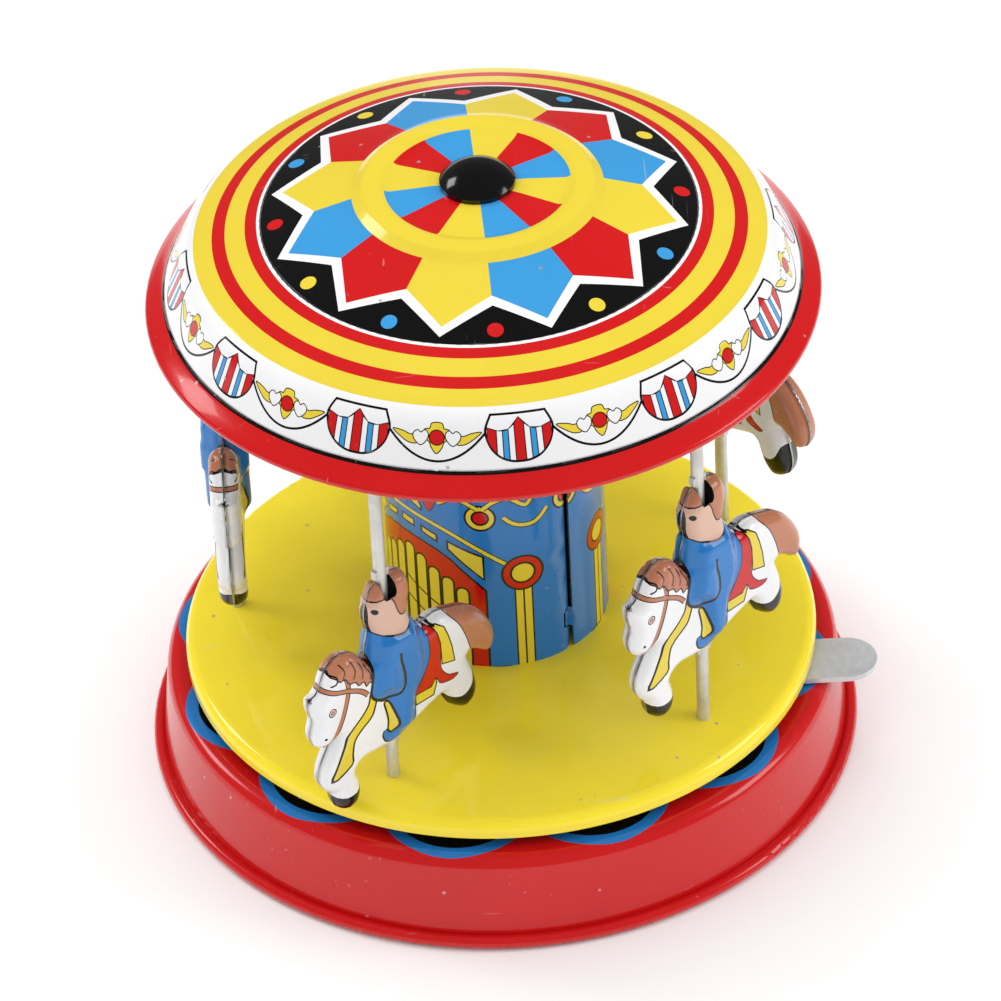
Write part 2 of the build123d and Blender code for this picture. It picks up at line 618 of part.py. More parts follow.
TAIL = [(-16.5, 17.9), (-18.4, 17.4), (-20.9, 15.7), (-22.5, 17.2), (-22.6, 20.4), (-20.6, 24.2),
        (-17.8, 26.9), (-14.4, 28.4)]
SADDLE_BACK = [(-10.6, 29.4), (-7.3, 28.9)]
RIDER_BACK = [(-5.7, 31.6), (-4.5, 34.0), (-4.6, 36.6), (-5.1, 39.4), (-4.4, 42.2), (-2.6, 43.3)]
RIDER_FRONT = [(1.2, 42.9), (2.8, 41.1), (3.9, 38.6), (4.1, 36.2), (3.7, 33.8), (4.4, 31.2)]
OUTLINE = (MANE_AND_FACE + FRONT_LEGS + BELLY + HIND_LEGS + TAIL + SADDLE_BACK + RIDER_BACK + RIDER_FRONT)
SKIRT = [(4.0, 28.0), (4.6, 22.0), (2.4, 20.4), (1.6, 12.0), (-1.8, 10.8), (-3.6, 13.0), (-4.4, 18.0),
         (-6.4, 23.0), (-6.2, 28.0), (-4.6, 32.6), (2.6, 32.8)]
BELLY_HEIGHT = 8.8
HEAD_HEIGHT = 43.1


def relief(points, inset, depth):
    """Block over an outline moved inwards by the inset, standing on the XY plane."""
    face = make_face(Polyline(*reversed(points), close=True))
    if inset:
        face = offset(face, amount=-inset, kind=Kind.ARC)
    return extrude(face, depth - inset)


def pressed_half():
    """One half of horse and rider: a shallow tin relief, open at the centre seam."""
    outer = relief(OUTLINE, 0, HORSE_DEPTH) + relief(SKIRT, 0, RIDER_DEPTH)
    inner = relief(OUTLINE, RIDER_SHEET, HORSE_DEPTH) + relief(SKIRT, RIDER_SHEET, RIDER_DEPTH)
    half = Rot(90, 0, 0) * (outer - inner)
    notch = Pos(0, 0, HEAD_HEIGHT) * Box(
        2 * (POLE_RADIUS + HEAD_NOTCH_CLEARANCE), 4 * RIDER_DEPTH, 2 * HEAD_NOTCH)
    return half - drill(POLE_RADIUS + RUN_CLEARANCE) - notch


def rider_half(index, left):
    """One pressing in its place on its pole."""
    half = pressed_half()
    if left:
        half = mirror(half, Plane.XZ)
    place = polar(POLE_CIRCLE, POLE_ANGLES[index])
    return Pos(place[0], place[1], rider_foot(index)) * Rot(0, 0, RIDER_HEADINGS[index]) * half


# ---- gear train ----------------------------------------------------------------------------------
def transfer_arbor():
    """Arbor of the second wheel, between the plates."""
    return rod(ARBOR_RADIUS, LOWER_PLATE_Z, UPPER_PLATE_Z + PLATE_THICKNESS / 2, TRANSFER_ARBOR)


def transfer_wheel():
    """Large wheel that drives the spindle pinion."""
    gap_angle = bearing(TRANSFER_ARBOR, (0, 0)) + 180 / TRANSFER_TEETH
    high = TRANSFER_WHEEL_Z + WHEEL_THICKNESS
    wheel = gear(TRANSFER_TEETH, TRANSFER_WHEEL_Z, high, TRANSFER_ARBOR, gap_angle)
    rim = root_radius(TRANSFER_TEETH) - WHEEL_RIM
    wheel = spokes_cut(wheel, TRANSFER_ARBOR, ARBOR_RADIUS + WHEEL_BOSS, rim)
    return wheel - drill(ARBOR_RADIUS, TRANSFER_ARBOR)


def transfer_pinion():
    """Pinion turned by the great wheel."""
    low = GREAT_WHEEL_Z - PINION_EXTRA
    gap_angle = bearing(TRANSFER_ARBOR, WINDING_ARBOR) + 180 / TRANSFER_PINION_TEETH
    high = low + WHEEL_THICKNESS + 2 * PINION_EXTRA
    return gear(TRANSFER_PINION_TEETH, low, high, TRANSFER_ARBOR, gap_angle) - drill(
        ARBOR_RADIUS, TRANSFER_ARBOR)


def winding_arbor():
    """Arbor that the mainspring hooks on."""
    return rod(SPINDLE_RADIUS, LOWER_PLATE_Z, UPPER_PLATE_Z + PLATE_THICKNESS / 2, WINDING_ARBOR)


def great_wheel():
    """Slow wheel driven by the mainspring."""
    tooth = bearing(WINDING_ARBOR, TRANSFER_ARBOR)
    high = GREAT_WHEEL_Z + WHEEL_THICKNESS
    wheel = gear(GREAT_TEETH, GREAT_WHEEL_Z, high, WINDING_ARBOR, tooth)
    wheel -= drill(CLICK_PIN_RADIUS, polar(CLICK_PIN_CIRCLE, CLICK_ANGLE, WINDING_ARBOR))
    return wheel - drill(SPINDLE_RADIUS, WINDING_ARBOR)


def ratchet_wheel():
    """Saw-toothed wheel on the winding arbor, which lets the arbor slip one way through the great wheel."""
    points = []
    for k in range(RATCHET_TEETH):
        angle = 360 / RATCHET_TEETH * k
        points.append(polar(RATCHET_RADIUS, angle))
        points.append(polar(RATCHET_RADIUS - RATCHET_DEPTH, angle + 1.5))
    wheel = extrude(make_face(Polyline(*points, close=True)), RATCHET_THICKNESS)
    wheel = Pos(WINDING_ARBOR[0], WINDING_ARBOR[1], RATCHET_Z) * wheel
    return wheel - drill(SPINDLE_RADIUS, WINDING_ARBOR)


def click():
    """Pawl on the great wheel whose nose rests on the ratchet teeth."""
    pin = polar(CLICK_PIN_CIRCLE, CLICK_ANGLE)
    nose = polar(RATCHET_RADIUS + 0.15, CLICK_ANGLE - 55)
    eye = Pos(pin[0], pin[1], 0) * Circle(1.6)
    arm = make_face(Polyline(polar(1.5, CLICK_ANGLE + 20, pin), polar(1.5, CLICK_ANGLE - 160, pin),
                             nose, polar(0.9, CLICK_ANGLE - 55, nose), close=True))
    body = extrude(eye + arm, RATCHET_THICKNESS)
    body = Pos(WINDING_ARBOR[0], WINDING_ARBOR[1], RATCHET_Z) * body
    return body - drill(CLICK_PIN_RADIUS, polar(CLICK_PIN_CIRCLE, CLICK_ANGLE, WINDING_ARBOR))


def click_rivet():
    """Pin on which the click turns, riveted in the great wheel."""
    place = polar(CLICK_PIN_CIRCLE, CLICK_ANGLE, WINDING_ARBOR)
    head_z = RATCHET_Z + RATCHET_THICKNESS
    pin = rod(CLICK_PIN_RADIUS, GREAT_WHEEL_Z, head_z, place)
    return pin + rod(RIVET_SPREAD * CLICK_PIN_RADIUS, head_z, head_z + RIVET_HEIGHT, place)


def clutch_spring():
    """Split spring ring that grips the winding arbor inside the winding pinion."""
    low = SECTOR_Z - PINION_EXTRA
    coil = ring(SPINDLE_RADIUS + CLUTCH_WALL, SPINDLE_RADIUS, low, low + CLUTCH_HEIGHT, WINDING_ARBOR)
    gap = polar(SPINDLE_RADIUS + CLUTCH_WALL, 90, WINDING_ARBOR)
    return coil - Pos(gap[0], gap[1], low) * Box(0.5, 2 * CLUTCH_WALL + 1, 4)


def winding_pinion():
    """Pinion that the lever's sector turns back and forth."""
    low = SECTOR_Z - PINION_EXTRA
    tooth = bearing(WINDING_ARBOR, LEVER_PIVOT) + 180 / WINDING_TEETH
    pinion = gear(WINDING_TEETH, low, low + WHEEL_THICKNESS + 2 * PINION_EXTRA, WINDING_ARBOR, tooth)
    pinion -= drill(SPINDLE_RADIUS + RUN_CLEARANCE, WINDING_ARBOR)
    pocket = SPINDLE_RADIUS + CLUTCH_WALL + RUN_CLEARANCE
    return pinion - rod(pocket, low - 1, low + CLUTCH_HEIGHT + RUN_CLEARANCE, WINDING_ARBOR)


def governor_arbor():
    """Arbor of the flywheel, between the plates."""
    return rod(ARBOR_RADIUS, LOWER_PLATE_Z, UPPER_PLATE_Z + PLATE_THICKNESS / 2, GOVERNOR_ARBOR)


def governor_pinion():
    """Small pinion that spins the flywheel."""
    low = DRIVE_WHEEL_Z - PINION_EXTRA
    gap_angle = bearing(GOVERNOR_ARBOR, (0, 0)) + 180 / GOVERNOR_TEETH
    high = low + WHEEL_THICKNESS + 2 * PINION_EXTRA
    return gear(GOVERNOR_TEETH, low, high, GOVERNOR_ARBOR, gap_angle) - drill(ARBOR_RADIUS, GOVERNOR_ARBOR)


def governor_flywheel():
    """Heavy disc that evens out the speed."""
    high = FLYWHEEL_Z + FLYWHEEL_HEIGHT
    wheel = rod(FLYWHEEL_RADIUS, FLYWHEEL_Z, high, GOVERNOR_ARBOR)
    wheel = spokes_cut(wheel, GOVERNOR_ARBOR, ARBOR_RADIUS + WHEEL_BOSS, FLYWHEEL_RADIUS - WHEEL_RIM)
    return wheel - drill(ARBOR_RADIUS, GOVERNOR_ARBOR)


# ---- winding lever -------------------------------------------------------------------------------
def lever_arm():
    """Flat strip with rounded ends, between the drum top and the platform."""
    length = LEVER_REACH - LEVER_WIDTH / 2
    blank = Pos(length / 2, 0, 0) * SlotCenterToCenter(length, LEVER_WIDTH)
    arm = Pos(LEVER_PIVOT[0], LEVER_PIVOT[1], LEVER_Z) * extrude(blank, LEVER_THICKNESS)
    return arm - drill(LEVER_SHAFT_RADIUS, LEVER_PIVOT)


def lever_shaft():
    """Pin fixed in the lever, turning in the drum top and both plates."""
    top = LEVER_Z + LEVER_THICKNESS
    shaft = rod(LEVER_SHAFT_RADIUS, LOWER_PLATE_Z, top, LEVER_PIVOT)
    return shaft + rod(RIVET_SPREAD * LEVER_SHAFT_RADIUS, top, top + RIVET_HEIGHT, LEVER_PIVOT)


def lever_sector():
    """Toothed sector on the lever shaft that turns the winding pinion."""
    high = SECTOR_Z + WHEEL_THICKNESS
    full = gear(SECTOR_TEETH, SECTOR_Z, high, LEVER_PIVOT, CONTACT_ANGLE)
    first = CONTACT_ANGLE - SECTOR_MARGIN
    last = CONTACT_ANGLE + LEVER_STROKE + SECTOR_MARGIN
    reach = 2 * centre_distance(SECTOR_TEETH, 0)
    corners = [(0, 0)] + [polar(reach, angle) for angle in (first, (first + last) / 2, last)]
    wedge = make_face(Polyline(*corners, close=True))
    fan = full & Pos(LEVER_PIVOT[0], LEVER_PIVOT[1], SECTOR_Z - 1) * extrude(wedge, WHEEL_THICKNESS + 2)
    fan += rod(SECTOR_HUB_RADIUS, SECTOR_Z, high, LEVER_PIVOT)
    return fan - drill(LEVER_SHAFT_RADIUS, LEVER_PIVOT)


def all_parts():
    """Every node of the model, by name."""
    makers = [base_shell, bottom_plate, bottom_plate_screws, bottom_standoffs, movement_pillars,
              movement_lower_plate, movement_upper_plate, spindle_upper_bush, spindle_lower_bush,
              lever_washer, mainspring, lever_return_spring, main_spindle, spindle_pinion,
              governor_drive_wheel, platform_hub, platform_rivets, platform, column, pole_top_disc, canopy_collar, canopy, canopy_knob,
              transfer_arbor, transfer_wheel, transfer_pinion, winding_arbor, great_wheel, ratchet_wheel,
              click, click_rivet, clutch_spring, winding_pinion, governor_arbor, governor_pinion,
              governor_flywheel,
              lever_arm, lever_shaft, lever_sector]
    parts = {maker.__name__: maker() for maker in makers}
    for index in range(POLE_COUNT):
        parts[f"pole_{index + 1}"] = pole(index)
        parts[f"rider_{index + 1}_left_half"] = rider_half(index, left=True)
        parts[f"rider_{index + 1}_right_half"] = rider_half(index, left=False)
    return parts


def main():
    os.makedirs("parts", exist_ok=True)
    for name, shape in all_parts().items():
        export_step(shape, f"parts/{name}.step")


if __name__ == "__main__":
    main()
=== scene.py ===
"""Finish of the clockwork tin carousel: printed sheets, riders, fittings, materials and the stage.

Laid out as an add-on and run as a script. Sizes here are in millimetres until MM turns them into metres.
"""
import json
from math import atan2, ceil, cos, degrees, hypot, pi, radians, sin, tan

import bmesh
import bpy
import numpy as np
from mathutils import Matrix, Vector
from mathutils.geometry import delaunay_2d_cdt


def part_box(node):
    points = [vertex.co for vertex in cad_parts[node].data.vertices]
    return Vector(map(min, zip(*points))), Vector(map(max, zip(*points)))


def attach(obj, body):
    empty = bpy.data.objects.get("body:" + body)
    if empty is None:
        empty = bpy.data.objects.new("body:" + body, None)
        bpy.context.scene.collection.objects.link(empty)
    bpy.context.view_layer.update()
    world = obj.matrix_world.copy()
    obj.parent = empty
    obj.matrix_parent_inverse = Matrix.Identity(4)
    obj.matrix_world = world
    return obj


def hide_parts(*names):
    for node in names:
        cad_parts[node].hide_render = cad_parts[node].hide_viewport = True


bl_info = {
    "name": "Tin carousel finish",
    "version": (1, 0, 0),
    "blender": (4, 5, 0),
    "location": "View3D > Sidebar > Carousel",
    "description": "Printed tin, riders, fittings, materials and stage of the clockwork carousel",
    "category": "Object",
}

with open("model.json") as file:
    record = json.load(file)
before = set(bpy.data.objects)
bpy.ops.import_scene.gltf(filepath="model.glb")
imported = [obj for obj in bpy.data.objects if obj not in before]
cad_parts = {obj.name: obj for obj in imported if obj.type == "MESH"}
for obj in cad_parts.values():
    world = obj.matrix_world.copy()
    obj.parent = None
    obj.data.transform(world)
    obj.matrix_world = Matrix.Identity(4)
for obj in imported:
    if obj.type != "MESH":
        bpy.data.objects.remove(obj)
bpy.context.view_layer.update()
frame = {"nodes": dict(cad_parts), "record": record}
MM = 0.001
TAU = 2 * pi
NOT_PRINTED = -1            # layer colour that cuts a hole through the sheet


# ---- sizes and colours a user would change -------------------------------------------------------
class CarouselSizes(bpy.types.PropertyGroup):
    """Sizes of the printed pieces."""
    sheet: bpy.props.FloatProperty(
        name="Sheet", description="Thickness of the printed tin", default=0.4, min=0.1, max=1.0)
    print_line: bpy.props.FloatProperty(
        name="Printed line", description="Width of the heavy black lines", default=0.4, min=0.1,
        max=1.0)
    fine_line: bpy.props.FloatProperty(
        name="Fine line", description="Width of the fine black lines", default=0.18, min=0.05, max=0.5)
    segments: bpy.props.IntProperty(
        name="Segments", description="Facets round a full turn of sheet", default=120, min=24, max=240)


class CarouselColours(bpy.types.PropertyGroup):
    """Printing inks, as linear colour."""
    yellow: bpy.props.FloatVectorProperty(
        name="Yellow", description="Roof ink", subtype="COLOR", size=4,
        default=(0.73, 0.57, 0.042, 1.0), min=0.0, max=1.0)
    # Painted light: the deck yellow is the roof yellow made brighter, standing in for light that the canopy
    # keeps off the platform.
    deck_painted_light: bpy.props.FloatVectorProperty(
        name="Deck yellow", description="Platform ink", subtype="COLOR", size=4,
        default=(0.92, 0.73, 0.035, 1.0), min=0.0, max=1.0)
    red: bpy.props.FloatVectorProperty(
        name="Red", description="Drum, rim and ring ink", subtype="COLOR", size=4,
        default=(0.56, 0.006, 0.007, 1.0), min=0.0, max=1.0)
    sky: bpy.props.FloatVectorProperty(
        name="Sky blue", description="Roof ink", subtype="COLOR", size=4,
        default=(0.038, 0.29, 0.62, 1.0), min=0.0, max=1.0)
    blue: bpy.props.FloatVectorProperty(
        name="Blue", description="Column and dress ink", subtype="COLOR", size=4,
        default=(0.014, 0.175, 0.50, 1.0), min=0.0, max=1.0)
    white: bpy.props.FloatVectorProperty(
        name="White", description="Band and horse ink", subtype="COLOR", size=4,
        default=(0.80, 0.80, 0.81, 1.0), min=0.0, max=1.0)
    black: bpy.props.FloatVectorProperty(
        name="Black", description="Outline ink", subtype="COLOR", size=4,
        default=(0.003, 0.003, 0.003, 1.0), min=0.0, max=1.0)
    tan: bpy.props.FloatVectorProperty(
        name="Tan", description="Mane, strap and hair ink", subtype="COLOR", size=4,
        default=(0.47, 0.18, 0.095, 1.0), min=0.0, max=1.0)
    pink: bpy.props.FloatVectorProperty(
        name="Pink", description="Face ink", subtype="COLOR", size=4,
        default=(0.66, 0.42, 0.32, 1.0), min=0.0, max=1.0)
    tin: bpy.props.FloatVectorProperty(
        name="Tin", description="Bare tinplate", subtype="COLOR", size=4,
        default=(0.62, 0.62, 0.60, 1.0), min=0.0, max=1.0)


class CarouselStage(bpy.types.PropertyGroup):
    """Camera and light."""
    distance: bpy.props.FloatProperty(
        name="Camera distance", description="Camera to the spindle axis, along the floor",
        default=0.8186,
        unit="LENGTH")
    height: bpy.props.FloatProperty(
        name="Camera height", description="Camera above the floor", default=0.7002, unit="LENGTH")
    tilt: bpy.props.FloatProperty(
        name="Tilt", description="How far the camera looks down", default=radians(38.56),
        subtype="ANGLE")
    pan: bpy.props.FloatProperty(
        name="Pan", description="How far the camera looks aside", default=radians(0.075),
        subtype="ANGLE")
    roll: bpy.props.FloatProperty(
        name="Roll", description="How far the camera leans", default=radians(-3.0), subtype="ANGLE")
    lens: bpy.props.FloatProperty(
        name="Lens", description="Focal length in mm on a 36 mm sensor", default=219.2, min=20.0)
    key_power: bpy.props.FloatProperty(
        name="Key light", description="Power of the main softbox", default=2.6, subtype="POWER")
    fill_power: bpy.props.FloatProperty(
        name="Fill light", description="Power of each side softbox", default=2.4, subtype="POWER")
    surround: bpy.props.FloatProperty(
        name="Surround", description="Brightness of the white studio", default=0.95, min=0.0)
    mirrored: bpy.props.FloatProperty(
        name="Mirrored surround", description="Brightness of the studio in reflections", default=0.12,
        min=0.0)


# ---- plane drawing -------------------------------------------------------------------------------
def circle(u, v, radius, count=28):
    """Round outline about a point."""
    return [(u + radius * cos(TAU * k / count),
             v + radius * sin(TAU * k / count)) for k in range(count)]


def smooth_line(points, steps=6, closed=False):
    """Curve through the points."""
    ends = len(points)
    found = []
    for k in range(ends if closed else ends - 1):
        before, start, end, after = (
            points[(k + shift) % ends if closed else min(max(k + shift, 0), ends - 1)] for shift in (-1,
                                                                                                     0,
                                                                                                     1,
                                                                                                     2))
        for step in range(steps):
            t = step / steps
            found.append(tuple(
                0.5 * (2 * start[i] + (end[i] - before[i]) * t
                       + (2 * before[i] - 5 * start[i] + 4 * end[i] - after[i]) * t * t
                       + (3 * start[i] - before[i] - 3 * end[i] + after[i]) * t ** 3) for i in (0, 1)))
    if not closed:
        found.append(points[-1])
    return found


def side_points(points, distance, closed):
    """The line moved sideways, to its left where the distance is positive."""
    ends = len(points)
    moved = []
    for k, point in enumerate(points):
        before = points[k - 1] if closed or k > 0 else None
        after = points[(k + 1) % ends] if closed or k < ends - 1 else None
        normals = []
        for start, end in ((before, point), (point, after)):
            if start is None or end is None:
                continue
            length = hypot(end[0] - start[0], end[1] - start[1]) or 1e-9
            normals.append(((start[1] - end[1]) / length, (end[0] - start[0]) / length))
        nx = sum(n[0] for n in normals) / len(normals)
        ny = sum(n[1] for n in normals) / len(normals)
        size = max(nx * nx + ny * ny, 0.25)
        moved.append((point[0] + distance * nx / size, point[1] + distance * ny / size))
    return moved


def stroke(points, width):
    """Outline of an open line of a given width."""
    return side_points(points, width / 2, False) + side_points(points, -width / 2, False)[::-1]


def signed_area(points):
    """Area of an outline, positive where it runs anticlockwise."""
    return sum(a[0] * b[1] - b[0] * a[1] for a, b in zip(points, points[1:] + points[:1])) / 2


def grown(points, amount):
    """Closed outline moved outwards, or inwards where the amount is negative."""
    turn = 1 if signed_area(points) > 0 else -1
    return side_points(points, -amount * turn, True)


def outlined(points, colour, line, line_colour="black"):
    """Colour inside a printed outline, as two layers."""
    return [(line_colour, grown(points, line / 2)), (colour, grown(points, -line / 2))]


def box_outline(u0, u1, v0, v1):
    """Upright rectangle."""
    return [(u0, v0), (u1, v0), (u1, v1), (u0, v1)]


def divided(points, step):
    """Closed outline with points no further apart than the step."""
    found = []
    for start, end in zip(points, points[1:] + points[:1]):
        count = max(1, ceil(hypot(end[0] - start[0], end[1] - start[1]) / step))
        found += [(start[0] + (end[0] - start[0]) * k / count,
                   start[1] + (end[1] - start[1]) * k / count)
                  for k in range(count)]
    return found


def mirrored(points, about=0.0):
    """Outline turned left to right."""
    return [(2 * about - u, v) for u, v in points][::-1]


def inside(points, outline):
    """Which of an array of points lie in a closed outline."""
    found = np.zeros(len(points), bool)
    near = outline_box(points, outline)
    if not near.any():
        return found
    x, y = points[near, 0], points[near, 1]
    hit = np.zeros(len(x), bool)
    for (x0, y0), (x1, y1) in zip(outline, outline[1:] + outline[:1]):
        if y0 == y1:
            continue
        crosses = (y0 > y) != (y1 > y)
        hit ^= crosses & (x < (x1 - x0) * (y - y0) / (y1 - y0) + x0)
    found[near] = hit
    return found


def outline_box(points, outline):
    """Which points lie in the outline's bounding box."""
    low = np.min(outline, axis=0)
    high = np.max(outline, axis=0)
    return np.all((points >= low) & (points <= high), axis=1)


def rounded_path(points, radii, step):
    """Open line whose inner corners are arcs of the given radii, with points about one step apart."""
    path = [points[0]]
    for before, corner, after, radius in zip(points, points[1:], points[2:], radii):
        a = Vector(before) - Vector(corner)
        b = Vector(after) - Vector(corner)
        half = a.angle(b) / 2
        reach = min(radius / tan(half), 0.48 * min(a.length, b.length))
        radius = reach * tan(half)
        centre = Vector(corner) + (a.normalized() + b.normalized()).normalized() * (radius / sin(half))
        start = Vector(corner) + a.normalized() * reach - centre
        end = Vector(corner) + b.normalized() * reach - centre
        turn = start.angle(end)
        count = max(2, ceil(turn * radius / step), ceil(turn / radians(12)))
        sign = 1 if start.x * end.y - start.y * end.x > 0 else -1
        for k in range(count + 1):
            angle = sign * turn * k / count
            path.append((centre.x + start.x * cos(angle) - start.y * sin(angle),
                         centre.y + start.x * sin(angle) + start.y * cos(angle)))
    path.append(points[-1])
    return path


# ---- printed tin sheet ---------------------------------------------------------------------------
def triangulated(layers, outline, rings, loose_points, step):
    """Flat triangles that follow every printed edge: the points, the triangles and each one's layer."""
    points = []
    edges = []

    def add_line(line, closed):
        first = len(points)
        points.extend(line)
        edges.extend((first + k, first + k + 1) for k in range(len(line) - 1))
        if closed:
            edges.append((first + len(line) - 1, first))

    add_line(outline, True)
    for ring in rings:
        add_line(ring, False)
    drawn = [divided(shape, step) for _, shape in layers]
    for shape in drawn:
        add_line(shape, True)
    points.extend(loose_points)
    found = delaunay_2d_cdt([Vector(p) for p in points], edges, [], 0, 1e-5, False)
    flat = np.array([tuple(v) for v in found[0]])
    triangles = np.array([f for f in found[2] if len(f) == 3])
    centres = flat[triangles].mean(axis=1)
    a, b, c = (flat[triangles[:, k]] for k in range(3))
    area = np.abs((b - a)[:, 0] * (c - a)[:, 1] - (b - a)[:, 1] * (c - a)[:, 0])
    keep = inside(centres, outline) & (area > 1e-7)
    triangles, centres = triangles[keep], centres[keep]
    layer = np.full(len(triangles), -2)
    for number, shape in enumerate(drawn):
        layer[inside(centres, shape)] = number
    return flat, triangles, layer


def printed_sheet(name, layers, outline, surface, thickness, materials, inside_material, rings=(),
                  loose_points=(), step=0.7, joined=False):
    """Sheet of tin of one thickness with a printed outer face.

    surface(points) gives each flat point its place and outward normal in millimetres.
    joined closes the seam where the sheet meets itself.
    """
    flat, triangles, layer = triangulated(layers, outline, rings, list(loose_points), step)
    names = sorted({colour for colour, _ in layers if colour != NOT_PRINTED})
    slot_of = np.array([names.index(colour) if colour != NOT_PRINTED else NOT_PRINTED for colour,
                        _ in layers])
    keep = slot_of[layer] != NOT_PRINTED
    triangles, slots = triangles[keep], slot_of[layer[keep]]
    used = np.unique(triangles)
    number = np.zeros(len(flat), int)
    number[used] = np.arange(len(used))
    triangles = number[triangles]
    places, normals = surface(flat[used])
    if joined:
        key = np.round(places / 0.0004).astype(np.int64)
        _, first, same = np.unique(key, axis=0, return_index=True, return_inverse=True)
        same = same.reshape(-1)
        places, normals = places[first], normals[first]
        triangles = same[triangles]
        keep = ((triangles[:, 0] != triangles[:, 1]) & (triangles[:, 1] != triangles[:, 2])
                & (triangles[:, 2] != triangles[:, 0]))
        triangles, slots = triangles[keep], slots[keep]
    a, b, c = (places[triangles[:, k]] for k in range(3))
    facing = np.einsum("ij,ij->i", np.cross(b - a, c - a), normals[triangles].sum(axis=1))
    triangles[facing < 0] = triangles[facing < 0][:, ::-1]
    count = len(places)
    inner = places - normals * thickness
    directed = np.concatenate([triangles[:, [0, 1]], triangles[:, [1, 2]], triangles[:, [2, 0]]])
    code = directed[:, 0] * count + directed[:, 1]
    back = directed[:, 1] * count + directed[:, 0]
    border = directed[~np.isin(code, back)]
    walls = np.stack([border[:, 1], border[:, 0], border[:, 0] + count, border[:, 1] + count], axis=1)
    faces = ([tuple(t) for t in triangles.tolist()] + [tuple(t[::-1]) for t in (triangles + count).tolist()]
             + [tuple(w) for w in walls.tolist()])
    mesh = bpy.data.meshes.new(name)
    mesh.from_pydata((np.concatenate([places, inner]) * MM).tolist(), [], faces)
    for colour in names:
        mesh.materials.append(materials[colour])
    mesh.materials.append(inside_material)
    bare = len(names)
    index = np.concatenate([slots, np.full(len(triangles) + len(walls), bare)])
    mesh.polygons.foreach_set("material_index", index.astype(np.int32))
    mesh.polygons.foreach_set("use_smooth", np.ones(len(faces), bool))
    corner_normals = np.concatenate([
        normals[triangles].reshape(-1, 3), -normals[triangles[:, ::-1]].reshape(-1, 3),
        wall_normals(places, inner, border)])
    mesh.normals_split_custom_set(corner_normals.tolist())
    mesh.update()
    piece = bpy.data.objects.new(name, mesh)
    bpy.context.scene.collection.objects.link(piece)
    return piece


def wall_normals(places, inner, border):
    """Flat normals for the cut edges of a sheet, four to each edge."""
    if not len(border):
        return np.zeros((0, 3))
    along = places[border[:, 0]] - places[border[:, 1]]
    down = inner[border[:, 0]] - places[border[:, 0]]
    normal = np.cross(along, down)
    normal /= np.maximum(np.linalg.norm(normal, axis=1, keepdims=True), 1e-9)
    return np.repeat(normal, 4, axis=0)


# ---- shader node groups --------------------------------------------------------------------------
def new_group(name, inputs, outputs):
    """Empty shader node group with named sockets."""
    group = bpy.data.node_groups.new(name, "ShaderNodeTree")
    for socket, kind, value in inputs:
        made = group.interface.new_socket(name=socket, in_out="INPUT", socket_type=kind)
        made.default_value = value
    for socket, kind in outputs:
        group.interface.new_socket(name=socket, in_out="OUTPUT", socket_type=kind)
    return group, group.nodes.new("NodeGroupInput"), group.nodes.new("NodeGroupOutput")


def node(tree, kind, links=(), values=(), **settings):
    """Adds a node, sets it and links its inputs."""
    made = tree.nodes.new(kind)
    for key, value in settings.items():
        setattr(made, key, value)
    for socket, value in values:
        made.inputs[socket].default_value = value
    for socket, source in links:
        tree.links.new(source, made.inputs[socket])
    return made


def math_node(tree, operation, *values):
    """Math node whose inputs are numbers or sockets."""
    made = tree.nodes.new("ShaderNodeMath")
    made.operation = operation
    for k, value in enumerate(values):
        if isinstance(value, (int, float)):
            made.inputs[k].default_value = value
        else:
            tree.links.new(value, made.inputs[k])
    return made.outputs[0]


def threshold(tree, value, low, high, to_low=0.0, to_high=1.0):
    """Map Range node from one span to another."""
    made = tree.nodes.new("ShaderNodeMapRange")
    tree.links.new(value, made.inputs["Value"])
    for socket, number in (("From Min", low), ("From Max", high), ("To Min", to_low),
                           ("To Max", to_high)):
        if isinstance(number, (int, float)):
            made.inputs[socket].default_value = number
        else:
            tree.links.new(number, made.inputs[socket])
    return made.outputs["Result"]


def mixed_colour(tree, share, first, second, blend="MIX"):
    """Colour mix; share, first and second are sockets, numbers or colours."""
    made = tree.nodes.new("ShaderNodeMix")
    made.data_type = "RGBA"
    made.blend_type = blend
    for socket, value in ((0, share), (6, first), (7, second)):
        if isinstance(value, bpy.types.NodeSocket):
            tree.links.new(value, made.inputs[socket])
        else:
            made.inputs[socket].default_value = value
    return made.outputs[2]


